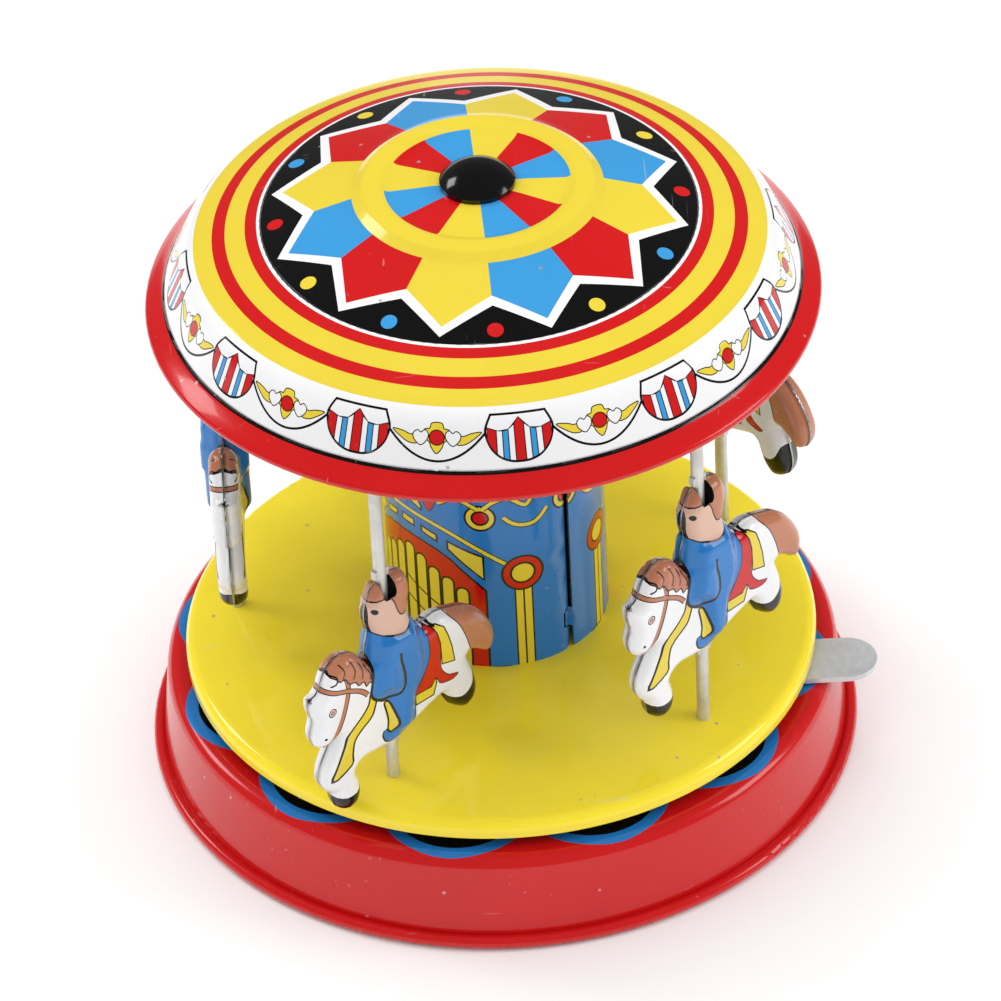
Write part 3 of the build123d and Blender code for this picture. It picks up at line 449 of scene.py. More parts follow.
def printed_ink_group():
    """Varnished ink on tin: mottle in the ink, hair scratches, chips to bare metal and a soft ripple."""
    group, source, out = new_group(
        "printed_ink",
        [("Ink", "NodeSocketColor", (0.8, 0.8, 0.8, 1.0)),
         ("Bare Metal", "NodeSocketColor", (0.6, 0.6, 0.58, 1.0)),
         ("Mottle", "NodeSocketFloat", 0.06), ("Scratches", "NodeSocketFloat", 0.5),
         ("Chips", "NodeSocketFloat", 0.5), ("Gloss", "NodeSocketFloat", 0.16)],
        [("Colour", "NodeSocketColor"), ("Roughness", "NodeSocketFloat"), ("Metal", "NodeSocketFloat"),
         ("Height", "NodeSocketFloat")])
    place = node(group, "ShaderNodeTexCoord").outputs["Object"]
    cloud = node(group, "ShaderNodeTexNoise", [("Vector", place)],
                 [("Scale", 55.0), ("Detail", 3.0), ("Roughness", 0.6)]).outputs[0]
    grain = node(group, "ShaderNodeTexNoise", [("Vector", place)],
                 [("Scale", 2600.0), ("Detail", 2.0)]).outputs[0]
    half = math_node(group, "MULTIPLY", source.outputs["Mottle"], 0.5)
    light = math_node(group, "SUBTRACT", math_node(group, "ADD", cloud,
                                                   math_node(group, "MULTIPLY", grain, 0.6)),
                      0.8)
    shade = math_node(group, "ADD", math_node(group, "MULTIPLY", light,
                                              math_node(group, "MULTIPLY", half, 4.0)), 1.0)
    toned = node(group, "ShaderNodeVectorMath", [(0, source.outputs["Ink"])], operation="SCALE")
    group.links.new(shade, toned.inputs["Scale"])
    streaks = None
    for turn, scale in ((0.5, (1500.0, 26.0, 900.0)), (-0.9, (24.0, 1300.0, 800.0))):
        turned = node(group, "ShaderNodeMapping", [("Vector", place)],
                      [("Rotation", (0.35, -0.2, turn)), ("Scale", scale)])
        streak = node(group, "ShaderNodeTexNoise", [("Vector", turned.outputs[0])],
                      [("Scale", 1.0), ("Detail", 1.0)]).outputs[0]
        line = threshold(group, streak, 0.735, 0.775)
        streaks = line if streaks is None else math_node(group, "MAXIMUM", streaks, line)
    patches = threshold(group, node(group, "ShaderNodeTexNoise", [("Vector", place)],
                                    [("Scale", 80.0), ("Detail", 2.0)]).outputs[0], 0.5, 0.62)
    scratch = math_node(group, "MULTIPLY", math_node(group, "MULTIPLY", streaks, patches),
                        source.outputs["Scratches"])
    cells = node(group, "ShaderNodeTexVoronoi", [("Vector", place)], [("Scale", 420.0)])
    spot = threshold(group, cells.outputs["Distance"], 0.16, 0.10)
    rare = node(group, "ShaderNodeSeparateColor", [(0, cells.outputs["Color"])])
    chosen = threshold(group, rare.outputs[0], 0.975, 0.98)
    chip = math_node(group, "MULTIPLY", math_node(group, "MULTIPLY", spot, chosen),
                     source.outputs["Chips"])
    worn = math_node(group, "MAXIMUM", math_node(group, "MULTIPLY", scratch, 0.55), chip)
    colour = mixed_colour(group, worn, toned.outputs[0], source.outputs["Bare Metal"])
    group.links.new(colour, out.inputs["Colour"])
    rough = math_node(group, "ADD", source.outputs["Gloss"],
                      math_node(group, "ADD", math_node(group, "MULTIPLY", cloud, 0.08),
                                math_node(group, "MULTIPLY", worn, 0.25)))
    group.links.new(rough, out.inputs["Roughness"])
    group.links.new(math_node(group, "MULTIPLY", chip, 0.8), out.inputs["Metal"])
    ripple = node(group, "ShaderNodeTexNoise", [("Vector", place)],
                  [("Scale", 260.0), ("Detail", 1.0)]).outputs[0]
    height = math_node(group, "SUBTRACT", math_node(group, "MULTIPLY", ripple, 0.5),
                       math_node(group, "MULTIPLY", worn, 0.5))
    group.links.new(height, out.inputs["Height"])
    return group


def bare_metal_group():
    """Bare metal: rolling grain along one axis, clouded tarnish, dark pits and a fine brushed height."""
    group, source, out = new_group(
        "bare_metal",
        [("Metal", "NodeSocketColor", (0.6, 0.6, 0.6, 1.0)),
         ("Tarnish Colour", "NodeSocketColor", (0.3, 0.27, 0.2, 1.0)),
         ("Tarnish", "NodeSocketFloat", 0.3), ("Grain", "NodeSocketFloat", 0.4),
         ("Roughness", "NodeSocketFloat", 0.28),
         ("Grain Direction", "NodeSocketVector", (60.0, 1800.0, 1800.0))],
        [("Colour", "NodeSocketColor"), ("Roughness", "NodeSocketFloat"),
         ("Height", "NodeSocketFloat")])
    place = node(group, "ShaderNodeTexCoord").outputs["Object"]
    stretched = node(group, "ShaderNodeVectorMath",
                     [(0, place), (1, source.outputs["Grain Direction"])],
                     operation="MULTIPLY").outputs[0]
    lines = node(group, "ShaderNodeTexNoise", [("Vector", stretched)],
                 [("Scale", 1.0), ("Detail", 3.0)]).outputs[0]
    cloud = node(group, "ShaderNodeTexNoise", [("Vector", place)],
                 [("Scale", 120.0), ("Detail", 5.0), ("Roughness", 0.65)]).outputs[0]
    pits = node(group, "ShaderNodeTexNoise", [("Vector", place)],
                [("Scale", 1700.0), ("Detail", 2.0)]).outputs[0]
    stain = math_node(group, "MULTIPLY", threshold(group, cloud, 0.42, 0.72), source.outputs["Tarnish"])
    pit = math_node(group, "MULTIPLY", threshold(group, pits, 0.66, 0.74), source.outputs["Tarnish"])
    dull = math_node(group, "MAXIMUM", stain, pit)
    base = mixed_colour(group, dull, source.outputs["Metal"], source.outputs["Tarnish Colour"])
    streak = math_node(group, "ADD", math_node(
        group, "MULTIPLY", math_node(group, "SUBTRACT", lines, 0.5), source.outputs["Grain"]), 1.0)
    toned = node(group, "ShaderNodeVectorMath", [(0, base)], operation="SCALE")
    group.links.new(streak, toned.inputs["Scale"])
    group.links.new(toned.outputs[0], out.inputs["Colour"])
    rough = math_node(group, "ADD", source.outputs["Roughness"], math_node(
        group, "ADD", math_node(group, "MULTIPLY", dull, 0.3),
        math_node(group, "MULTIPLY", lines, 0.1)))
    group.links.new(rough, out.inputs["Roughness"])
    group.links.new(math_node(group, "MULTIPLY", lines, source.outputs["Grain"]), out.inputs["Height"])
    return group


def scalloped_ring_group():
    """Ring of round lobes on a disc: one mask for the whole lobe and one for its middle, which is painted
    shade under the platform's edge.
    """
    group, source, out = new_group(
        "scalloped_ring",
        [("Lobes", "NodeSocketFloat", 12.0), ("First Lobe", "NodeSocketFloat", 0.0),
         ("Circle", "NodeSocketFloat", 44.1 * MM), ("Lobe Radius", "NodeSocketFloat", 13.4 * MM),
         ("Border", "NodeSocketFloat", 2.2 * MM), ("Lowest", "NodeSocketFloat", 16.0 * MM)],
        [("Lobe", "NodeSocketFloat"), ("Middle", "NodeSocketFloat")])
    place = node(group, "ShaderNodeTexCoord").outputs["Object"]
    parts = node(group, "ShaderNodeSeparateXYZ", [(0, place)])
    x, y, z = parts.outputs
    radius = math_node(group, "SQRT", math_node(group, "ADD", math_node(group, "MULTIPLY", x, x),
                                                math_node(group, "MULTIPLY", y, y)))
    angle = math_node(group, "SUBTRACT", math_node(group, "ARCTAN2", y, x),
                      source.outputs["First Lobe"])
    pitch = math_node(group, "DIVIDE", TAU, source.outputs["Lobes"])
    half = math_node(group, "MULTIPLY", pitch, 0.5)
    folded = math_node(group, "WRAP", angle, half, math_node(group, "MULTIPLY", half, -1.0))
    along = math_node(group, "SUBTRACT", math_node(group, "MULTIPLY", radius,
                                                   math_node(group, "COSINE", folded)),
                      source.outputs["Circle"])
    across = math_node(group, "MULTIPLY", radius, math_node(group, "SINE", folded))
    reach = math_node(group, "SQRT", math_node(group, "ADD", math_node(group, "MULTIPLY", along, along),
                                               math_node(group, "MULTIPLY", across, across)))
    on_top = math_node(group, "GREATER_THAN", z, source.outputs["Lowest"])
    lobe = math_node(group, "MULTIPLY", math_node(group, "LESS_THAN", reach,
                                                  source.outputs["Lobe Radius"]), on_top)
    # Painted shade: the lobe's middle, inward of its border, lies under the platform's edge and is inked dark
    # as that shade.
    middle = math_node(group, "LESS_THAN", reach, math_node(
        group, "SUBTRACT", source.outputs["Lobe Radius"], source.outputs["Border"]))
    group.links.new(lobe, out.inputs["Lobe"])
    group.links.new(math_node(group, "MULTIPLY", middle, lobe), out.inputs["Middle"])
    return group


# ---- materials -----------------------------------------------------------------------------------
GROUPS = {}
MATERIALS = {}


def shader_material(name):
    """New material with an output and a Principled shader."""
    material = bpy.data.materials.new(name)
    material.use_nodes = True
    tree = material.node_tree
    shader = next(n for n in tree.nodes if n.type == "BSDF_PRINCIPLED")
    return material, tree, shader


def place_group(tree, group, values=()):
    """Adds a shared node group to a material with its own values."""
    made = tree.nodes.new("ShaderNodeGroup")
    made.node_tree = GROUPS[group]
    for socket, value in values:
        made.inputs[socket].default_value = value
    return made


def bump(tree, shader, height, strength, distance):
    """Feeds a height to the shader's normal."""
    made = node(tree, "ShaderNodeBump", [("Height", height)],
                [("Strength", strength), ("Distance", distance)])
    tree.links.new(made.outputs[0], shader.inputs["Normal"])


def ink_material(name, ink, mottle=0.05, scratches=0.4, chips=0.6, gloss=0.14, coat=0.35):
    """Printed and varnished tin in one ink."""
    material, tree, shader = shader_material(name)
    tin = tuple(bpy.context.scene.carousel_colours.tin)
    made = place_group(tree, "printed_ink", [("Ink", ink), ("Bare Metal", tin), ("Mottle", mottle),
                                             ("Scratches", scratches), ("Chips", chips),
                                             ("Gloss", gloss)])
    tree.links.new(made.outputs["Colour"], shader.inputs["Base Color"])
    tree.links.new(made.outputs["Roughness"], shader.inputs["Roughness"])
    tree.links.new(made.outputs["Metal"], shader.inputs["Metallic"])
    shader.inputs["Specular IOR Level"].default_value = 0.3
    shader.inputs["Coat Weight"].default_value = coat
    shader.inputs["Coat Roughness"].default_value = 0.04
    bump(tree, shader, made.outputs["Height"], 0.12, 0.15 * MM)
    return material, made


def metal_material(name, metal, tarnish_colour, tarnish, grain, roughness, direction,
                   bump_strength=0.25,
                   metallic=1.0):
    """Bare worked metal."""
    material, tree, shader = shader_material(name)
    made = place_group(tree, "bare_metal", [
        ("Metal", (*metal, 1.0)), ("Tarnish Colour", (*tarnish_colour, 1.0)), ("Tarnish", tarnish),
        ("Grain", grain),
        ("Roughness", roughness), ("Grain Direction", direction)])
    tree.links.new(made.outputs["Colour"], shader.inputs["Base Color"])
    tree.links.new(made.outputs["Roughness"], shader.inputs["Roughness"])
    shader.inputs["Metallic"].default_value = metallic
    bump(tree, shader, made.outputs["Height"], bump_strength, 0.05 * MM)
    return material


class CAROUSEL_OT_materials(bpy.types.Operator):
    """Mix the inks and metals, and give every carried part its own."""
    bl_idname = "carousel.materials"
    bl_label = "Inks and metals"

    def execute(self, context):
        inks = context.scene.carousel_colours
        GROUPS["printed_ink"] = printed_ink_group()
        GROUPS["bare_metal"] = bare_metal_group()
        GROUPS["scalloped_ring"] = scalloped_ring_group()
        for colour in ("yellow", "red", "sky", "blue", "white", "black", "tan", "pink"):
            MATERIALS[colour] = ink_material(f"{colour}_ink", tuple(getattr(inks, colour)))[0]
        MATERIALS["horse"] = ink_material("horse_white", tuple(inks.white), mottle=0.10, scratches=0.9,
                                          chips=1.0,
                                          gloss=0.2)[0]
        # Painted light: the platform takes the brightened deck yellow in place of the light it lacks under the
        # canopy.
        MATERIALS["platform"] = ink_material("platform_yellow_painted_light", tuple(inks.deck_painted_light), mottle=0.07,
                                             scratches=0.5,
                                             chips=0.7, gloss=0.1)[0]
        MATERIALS["drum"] = self.drum_material(inks)
        MATERIALS["knob"] = self.knob_material(inks)
        along_z = (1500.0, 1500.0, 40.0)
        round_work = (900.0, 900.0, 900.0)
        MATERIALS["tinplate"] = metal_material("tinplate", (0.60, 0.60, 0.58), (0.36, 0.33, 0.27), 0.35,
                                               0.25, 0.26,
                                               (70.0, 1600.0, 1600.0))
        MATERIALS["lever"] = metal_material("lever_steel", (0.70, 0.71, 0.73), (0.42, 0.42, 0.42), 0.45,
                                            0.30, 0.30,
                                            (900.0, 500.0, 900.0), 0.5, metallic=0.3)
        MATERIALS["pole"] = metal_material("drawn_wire", (0.66, 0.65, 0.62), (0.34, 0.30, 0.22), 0.5,
                                           0.35, 0.30,
                                           along_z, 0.4, metallic=0.6)
        MATERIALS["steel"] = metal_material("turned_steel", (0.56, 0.57, 0.58), (0.25, 0.22, 0.18), 0.3,
                                            0.3, 0.24,
                                            round_work)
        MATERIALS["brass"] = metal_material("stamped_brass", (0.78, 0.56, 0.20), (0.30, 0.20, 0.08),
                                            0.5, 0.25, 0.24,
                                            (1300.0, 60.0, 1300.0))
        MATERIALS["spring"] = metal_material("blued_spring", (0.16, 0.19, 0.27), (0.05, 0.05, 0.07),
                                             0.5, 0.3, 0.22,
                                             (60.0, 60.0, 2000.0))
        for name, part in frame["nodes"].items():
            finish = self.finish_of(name)
            for k in range(len(part.material_slots)):
                part.material_slots[k].material = MATERIALS[finish]
        return {"FINISHED"}

    def finish_of(self, name):
        """Which finish a carried part has."""
        own = {"base_shell": "drum", "platform": "platform", "canopy_knob": "knob",
               "lever_arm": "lever",
               "bottom_plate": "tinplate", "pole_top_disc": "tinplate"}
        if name in own:
            return own[name]
        if name.startswith("pole_"):
            return "pole"
        slots = {part["node"]: part["material_slot"] for part in frame["record"]["subparts"]}
        return {"brass": "brass", "spring_steel": "spring",
                "plain_tin": "tinplate"}.get(slots.get(name), "steel")

    def drum_material(self, inks):
        """Red ink with a ring of blue lobes on the drum's top, each painted black in its middle as the shade
        under the platform's edge.
        """
        material, made = ink_material("drum_red", tuple(inks.red), mottle=0.08, scratches=0.35,
                                      chips=0.5, gloss=0.17)
        tree = material.node_tree
        lobes = place_group(tree, "scalloped_ring", [("First Lobe", radians(-101.5))])
        colour = mixed_colour(tree, lobes.outputs["Lobe"], tuple(inks.red), tuple(inks.blue))
        # Painted shade: black over the lobe middles where the platform's edge shades the drum top.
        colour = mixed_colour(tree, lobes.outputs["Middle"], colour, tuple(inks.black))
        tree.links.new(colour, made.inputs["Ink"])
        return material

    def knob_material(self, inks):
        """Black moulded knob with faint dust and moulding marks."""
        material, made = ink_material("knob_black", tuple(inks.black), mottle=0.3, scratches=0.25,
                                      chips=0.0,
                                      gloss=0.12, coat=0.5)
        return material


# ---- modelling with the ordinary tools -----------------------------------------------------------
def start_clean():
    """Leaves edit mode and selects nothing."""
    if bpy.context.object and bpy.context.object.mode != "OBJECT":
        bpy.ops.object.mode_set(mode="OBJECT")
    bpy.ops.object.select_all(action="DESELECT")


def finish_piece(name, material, smooth_angle=35.0):
    """Names the active object, applies its place, shades it and gives it its material."""
    if bpy.context.object.mode != "OBJECT":
        bpy.ops.object.mode_set(mode="OBJECT")
    piece = bpy.context.object
    bpy.ops.object.transform_apply(location=True, rotation=True, scale=True)
    bpy.ops.object.mode_set(mode="EDIT")
    bpy.ops.mesh.select_all(action="SELECT")
    bpy.ops.mesh.remove_doubles(threshold=0.002 * MM)
    bpy.ops.mesh.normals_make_consistent(inside=False)
    bpy.ops.object.mode_set(mode="OBJECT")
    bpy.ops.object.shade_smooth_by_angle(angle=radians(smooth_angle))
    piece.name = name
    piece.data.name = name
    piece.data.materials.clear()
    piece.data.materials.append(material)
    return piece


def turned_piece(name, profile, centre, material, segments=32):
    """Solid of revolution: a disc drawn up through the (radius, height) points and closed at the last."""
    start_clean()
    radius, height = profile[0]
    bpy.ops.mesh.primitive_circle_add(vertices=segments, radius=radius * MM, fill_type="NGON",
                                      location=(centre[0] * MM, centre[1] * MM, height * MM))
    bpy.ops.object.mode_set(mode="EDIT")
    bpy.ops.mesh.select_all(action="SELECT")
    for new_radius, new_height in profile[1:]:
        bpy.ops.mesh.extrude_region_move(TRANSFORM_OT_translate={"value": (0.0, 0.0,
                                                                           (new_height - height) * MM)})
        scale = new_radius / radius
        bpy.ops.transform.resize(value=(scale, scale, 1.0),
                                 center_override=(centre[0] * MM, centre[1] * MM, new_height * MM))
        radius, height = new_radius, new_height
    return finish_piece(name, material)


# ---- canopy --------------------------------------------------------------------------------------
CANOPY_SCALE = 40.0         # flat width of one radian of canopy
BAND_RADIUS = 51.3          # middle of the white band
RING_EDGES = (53.3, 47.7, 44.5, 42.3, 38.9, 36.95, 36.4)
BOSS_EDGE = 20.9
WEDGE_EDGE = 15.5
STAR_TIP = 33.2
STAR_VALLEY = 27.2
STAR_BORDER = 1.9
DOT_CIRCLE = 33.8
DOT_RADIUS = 1.35
PETALS = 12
FIRST_PETAL = -102.2         # degrees
PETAL_INKS = ("yellow", "sky", "red")
FIRST_SHIELD = -84.8
FIRST_FLOWER = -99.8
FLOWER_MIDDLE = 5.7         # above the foot of the band
SWAG_HALF = 8.3             # half the width of a hanging line between two shields
SWAG_LOWEST = 1.8
SWAG_SAG = 5.2
EDGE_STEPS = 10             # points along each edge of a petal


def canopy_profile():
    """Outer face of the canopy from the rolled rim to the middle, as (radius, height)."""
    low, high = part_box("canopy")
    rim_radius, rim_low = high.x / MM, low.z / MM
    section = 0.9
    bead_r, bead_z = rim_radius - section, rim_low + section
    bead = [(bead_r + section * cos(radians(a)),
             bead_z + section * sin(radians(a))) for a in range(-170, 56, 9)]
    top = high.z / MM
    corners = [bead[-1], (53.3, top - 19.3), (49.2, top - 10.5), (36.4, top - 6.2), (20.9, top - 1.4),
               (19.2, top),
               (16.3, top), (14.7, top - 0.6), (7.75, top - 0.2), (1.7, top - 0.2)]
    return bead[:-1] + rounded_path(corners, [3.0, 6.0, 30.0, 1.0, 1.4, 1.4, 1.2, 8.0], 0.5)


class Turned:
    """A surface of revolution laid flat: u runs round it and v along its profile."""

    def __init__(self, profile, scale, longest=2.2):
        samples = [profile[0]]
        for point in profile[1:]:
            gap = hypot(point[0] - samples[-1][0], point[1] - samples[-1][1])
            count = max(1, ceil(gap / longest))
            start = samples[-1]
            samples += [(start[0] + (point[0] - start[0]) * k / count,
                         start[1] + (point[1] - start[1]) * k / count)
                        for k in range(1, count + 1)]
        self.profile = np.array(samples)
        steps = np.linalg.norm(np.diff(self.profile, axis=0), axis=1)
        self.along = np.concatenate([[0.0], np.cumsum(steps)])
        self.scale = scale
        tangent = np.gradient(self.profile, self.along, axis=0)
        tangent /= np.linalg.norm(tangent, axis=1, keepdims=True)
        self.tangent = tangent

    def v_at_radius(self, radius):
        """How far along the profile the last point of this radius is."""
        beyond = np.nonzero(self.profile[:, 0] >= radius)[0][-1]
        if beyond + 1 >= len(self.profile):
            return float(self.along[-1])
        r0, r1 = self.profile[beyond, 0], self.profile[beyond + 1, 0]
        share = (r0 - radius) / (r0 - r1)
        return float(self.along[beyond] + share * (self.along[beyond + 1] - self.along[beyond]))

    def polar(self, angle, radius):
        """Flat point at an angle in degrees and a plan radius."""
        return (radians(angle) * self.scale, self.v_at_radius(radius))

    def place(self, points):
        """Places and normals of flat points."""
        angle = points[:, 0] / self.scale
        radius = np.interp(points[:, 1], self.along, self.profile[:, 0])
        height = np.interp(points[:, 1], self.along, self.profile[:, 1])
        tr = np.interp(points[:, 1], self.along, self.tangent[:, 0])
        tz = np.interp(points[:, 1], self.along, self.tangent[:, 1])
        length = np.hypot(tr, tz)
        nr, nz = tz / length, -tr / length
        c, s = np.cos(angle), np.sin(angle)
        return (np.stack([radius * c, radius * s, height], axis=1),
                np.stack([nr * c, nr * s, nz], axis=1))

    def net(self, start, segments):
        """Rings and points that carry the curve of the surface, beginning at a flat u."""
        width = TAU * self.scale
        us = [start + width * k / segments for k in range(segments + 1)]
        return [[(u, float(v)) for u in us] for v in self.along[1:-1]]

    def outline(self, start, segments):
        """Edge of one full turn."""
        width = TAU * self.scale
        us = [start + width * k / segments for k in range(segments + 1)]
        low, high = float(self.along[0]), float(self.along[-1])
        sides = [float(v) for v in self.along[1:-1]]
        return ([(u, low) for u in us] + [(us[-1], v) for v in sides] + [(u, high) for u in us[::-1]]
                + [(us[0], v) for v in sides[::-1]])


def shield_layers(line, fine):
    """Striped shield with two scallops, about its own middle; v is height on the band."""
    body = smooth_line([(4.6, 9.4), (5.5, 7.2), (5.35, 5.6), (4.6, 3.8), (3.2, 2.35), (1.6, 1.65),
                        (0.0, 1.5),
                        (-1.6, 1.65), (-3.2, 2.35), (-4.6, 3.8), (-5.35, 5.6), (-5.5, 7.2),
                        (-4.6, 9.4)], 4)
    layers = outlined(body, "white", line)
    lower = [(u, v) for u, v in body if v <= 7.3]
    floor = sorted(lower)
    floor_u = [u for u, _ in floor]
    floor_v = [v for _, v in floor]

    def foot(u):
        return float(np.interp(u, floor_u, floor_v)) + line / 2

    def scallop(u):
        side = abs(u)
        middle = 2.7
        reach = middle if side < middle else 5.4 - middle
        rise = 2.1 if side < middle else 0.8
        return 6.6 + rise * ((side - middle) / reach) ** 2

    def stripe(u0, u1):
        us = [u0 + (u1 - u0) * k / 6 for k in range(7)]
        return [(u, foot(u)) for u in us] + [(u, max(scallop(u), foot(u) + 0.05)) for u in us[::-1]]

    edge = 5.2
    layers.append(("black", grown(stripe(-edge, edge), fine * 0.6)))
    for u0, u1, ink in ((0.0, 0.8, "red"), (0.8, 1.8, "white"), (1.8, 2.75, "sky"),
                        (2.75, 3.75, "white"),
                        (3.75, edge, "red")):
        gap = fine / 2
        if u0 == 0.0:
            layers.append((ink, stripe(-u1 + gap, u1 - gap)))
            continue
        for sign in (1, -1):
            shape = stripe(u0 + gap, u1 - (0.0 if u1 == edge else gap))
            layers.append((ink, shape if sign > 0 else mirrored(shape)))
    return layers


def flower_layers(fine):
    """Flower with a crown, two buds and two leaves, about its own middle."""
    crown = smooth_line([(-2.3, 0.2), (-2.0, 1.3), (-1.2, 1.5), (-0.9, 2.3), (0.0, 2.5), (0.9, 2.3),
                         (1.2, 1.5),
                         (2.0, 1.3), (2.3, 0.2), (1.2, -0.8), (0.9, -1.6), (0.0, -2.65), (-0.9, -1.6),
                         (-1.2, -0.8)],
                        4, True)
    leaf = smooth_line([(3.2, -1.0), (4.4, -1.1), (5.6, -0.5), (7.3, 0.9), (5.6, 0.75), (4.4, 0.3),
                        (3.4, 0.4)],
                       4, True)
    bud = smooth_line([(2.6, -1.35), (1.6, -0.4), (1.4, 0.6), (2.0, 1.2), (2.6, 0.75), (3.2, 1.1),
                       (3.9, 0.5),
                       (3.7, -0.5)], 4, True)
    layers = outlined(leaf, "yellow", fine) + outlined(mirrored(leaf), "yellow", fine)
    layers += outlined(crown, "yellow", fine)
    layers += outlined(bud, "white", fine) + outlined(mirrored(bud), "white", fine)
    layers += outlined(circle(0, 0, 1.25), "red", fine)
    return layers


def canopy_layers(roof, line, fine):
    """Everything printed on the canopy, in painting order."""
    width = TAU * roof.scale
    start = radians(FIRST_SHIELD - 15.0) * roof.scale
    left, right = start - 1.0, start + width + 1.0

    def hoop(outer, inner, ink):
        low = roof.v_at_radius(outer) if outer else -1.0
        high = roof.v_at_radius(inner) if inner else roof.along[-1] + 1.0
        return (ink, box_outline(left, right, low, high))

    e = RING_EDGES
    layers = [hoop(None, None, "red"), hoop(e[0] + 0.25, e[0] - 0.15, "black"),
              hoop(e[0] - 0.15, e[1], "white"),
              hoop(e[1], e[2], "yellow"), hoop(e[2], e[3], "red"), hoop(e[3], e[4], "yellow"),
              hoop(e[4], e[5], "red"), hoop(e[5], e[6], "white"), hoop(e[6], BOSS_EDGE, "black")]
    turn = 360.0 / PETALS
    for k in range(-1, PETALS + 1):
        middle = FIRST_PETAL + turn * k
        ink = PETAL_INKS[k % len(PETAL_INKS)]

        def sector(tip, valley, inner):
            """Pointed petal between two valleys, straight-edged in plan."""
            corners = [(middle - turn / 2, inner), (middle - turn / 2, valley), (middle, tip),
                       (middle + turn / 2, valley), (middle + turn / 2, inner)]
            plan = [(r * cos(radians(a - middle)), r * sin(radians(a - middle))) for a, r in corners]
            shape = []
            for p, q in zip(plan, plan[1:]):
                shape += [(p[0] + (q[0] - p[0]) * n / EDGE_STEPS, p[1] + (q[1] - p[1]) * n / EDGE_STEPS)
                          for n in range(EDGE_STEPS)]
            shape.append(plan[-1])
            return [roof.polar(middle + degrees(atan2(y, x)), hypot(x, y)) for x, y in shape]

        layers.append(("white", sector(STAR_TIP + STAR_BORDER, STAR_VALLEY + STAR_BORDER, BOSS_EDGE)))
        layers.append((ink, sector(STAR_TIP, STAR_VALLEY, BOSS_EDGE)))
        dot_angle = middle + turn / 2
        dot_ink = ("red", "yellow", "sky")[k % 3]
        dot = [roof.polar(dot_angle + degrees(atan2(y, DOT_CIRCLE + x)), hypot(DOT_CIRCLE + x, y))
               for x, y in circle(0, 0, DOT_RADIUS)]
        layers.append((dot_ink, dot))
    layers.append(hoop(BOSS_EDGE, WEDGE_EDGE, "yellow"))
    for k in range(-1, PETALS + 1):
        middle = FIRST_PETAL + turn * k
        low, high = roof.v_at_radius(WEDGE_EDGE), roof.along[-1] + 1.0
        u0, u1 = (radians(middle + side * turn / 2) * roof.scale for side in (-1, 1))
        layers.append((PETAL_INKS[k % len(PETAL_INKS)], box_outline(u0, u1, low, high)))
    foot = roof.v_at_radius(e[0])

    def on_band(shape, angle):
        return [((radians(angle) + u / BAND_RADIUS) * roof.scale, foot + v) for u, v in shape]

    shield = shield_layers(line, fine)
    flower = flower_layers(fine)
    swag = stroke([(u * SWAG_HALF, SWAG_LOWEST + SWAG_SAG * u * u) for u in np.linspace(-1, 1, 25).tolist()],
                  line)
    for k in range(-1, PETALS + 1):
        middle = FIRST_FLOWER + turn * k
        layers.append(("black", on_band(swag, middle)))
        layers += [(ink, on_band([(u, v + FLOWER_MIDDLE) for u, v in shape], middle)) for ink, shape in flower]
    for k in range(-1, PETALS + 1):
        layers += [(ink, on_band(shape, FIRST_SHIELD + turn * k)) for ink, shape in shield]
    return layers


class CAROUSEL_OT_canopy(bpy.types.Operator):
    """Press and print the domed canopy."""
    bl_idname = "carousel.canopy"
    bl_label = "Canopy"

    def execute(self, context):
        sizes = context.scene.carousel_sizes
        roof = Turned(canopy_profile(), CANOPY_SCALE)
        start = radians(FIRST_SHIELD - 15.0) * roof.scale
        piece = printed_sheet(
            "canopy_print", canopy_layers(roof, sizes.print_line, sizes.fine_line),
            roof.outline(start, sizes.segments), roof.place, sizes.sheet, MATERIALS,
            MATERIALS["tinplate"],
            rings=roof.net(start, sizes.segments), joined=True)
        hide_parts("canopy")
        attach(piece, "carousel")
        return {"FINISHED"}


# ---- column --------------------------------------------------------------------------------------
PANEL_ANGLES = (-141.0, 39.0)
SEAM_ANGLE = -50.5
PIPE_TOPS = (22.9, 21.7, 20.0, 18.7, 17.0)
COLUMN_RADIUS = 19.0


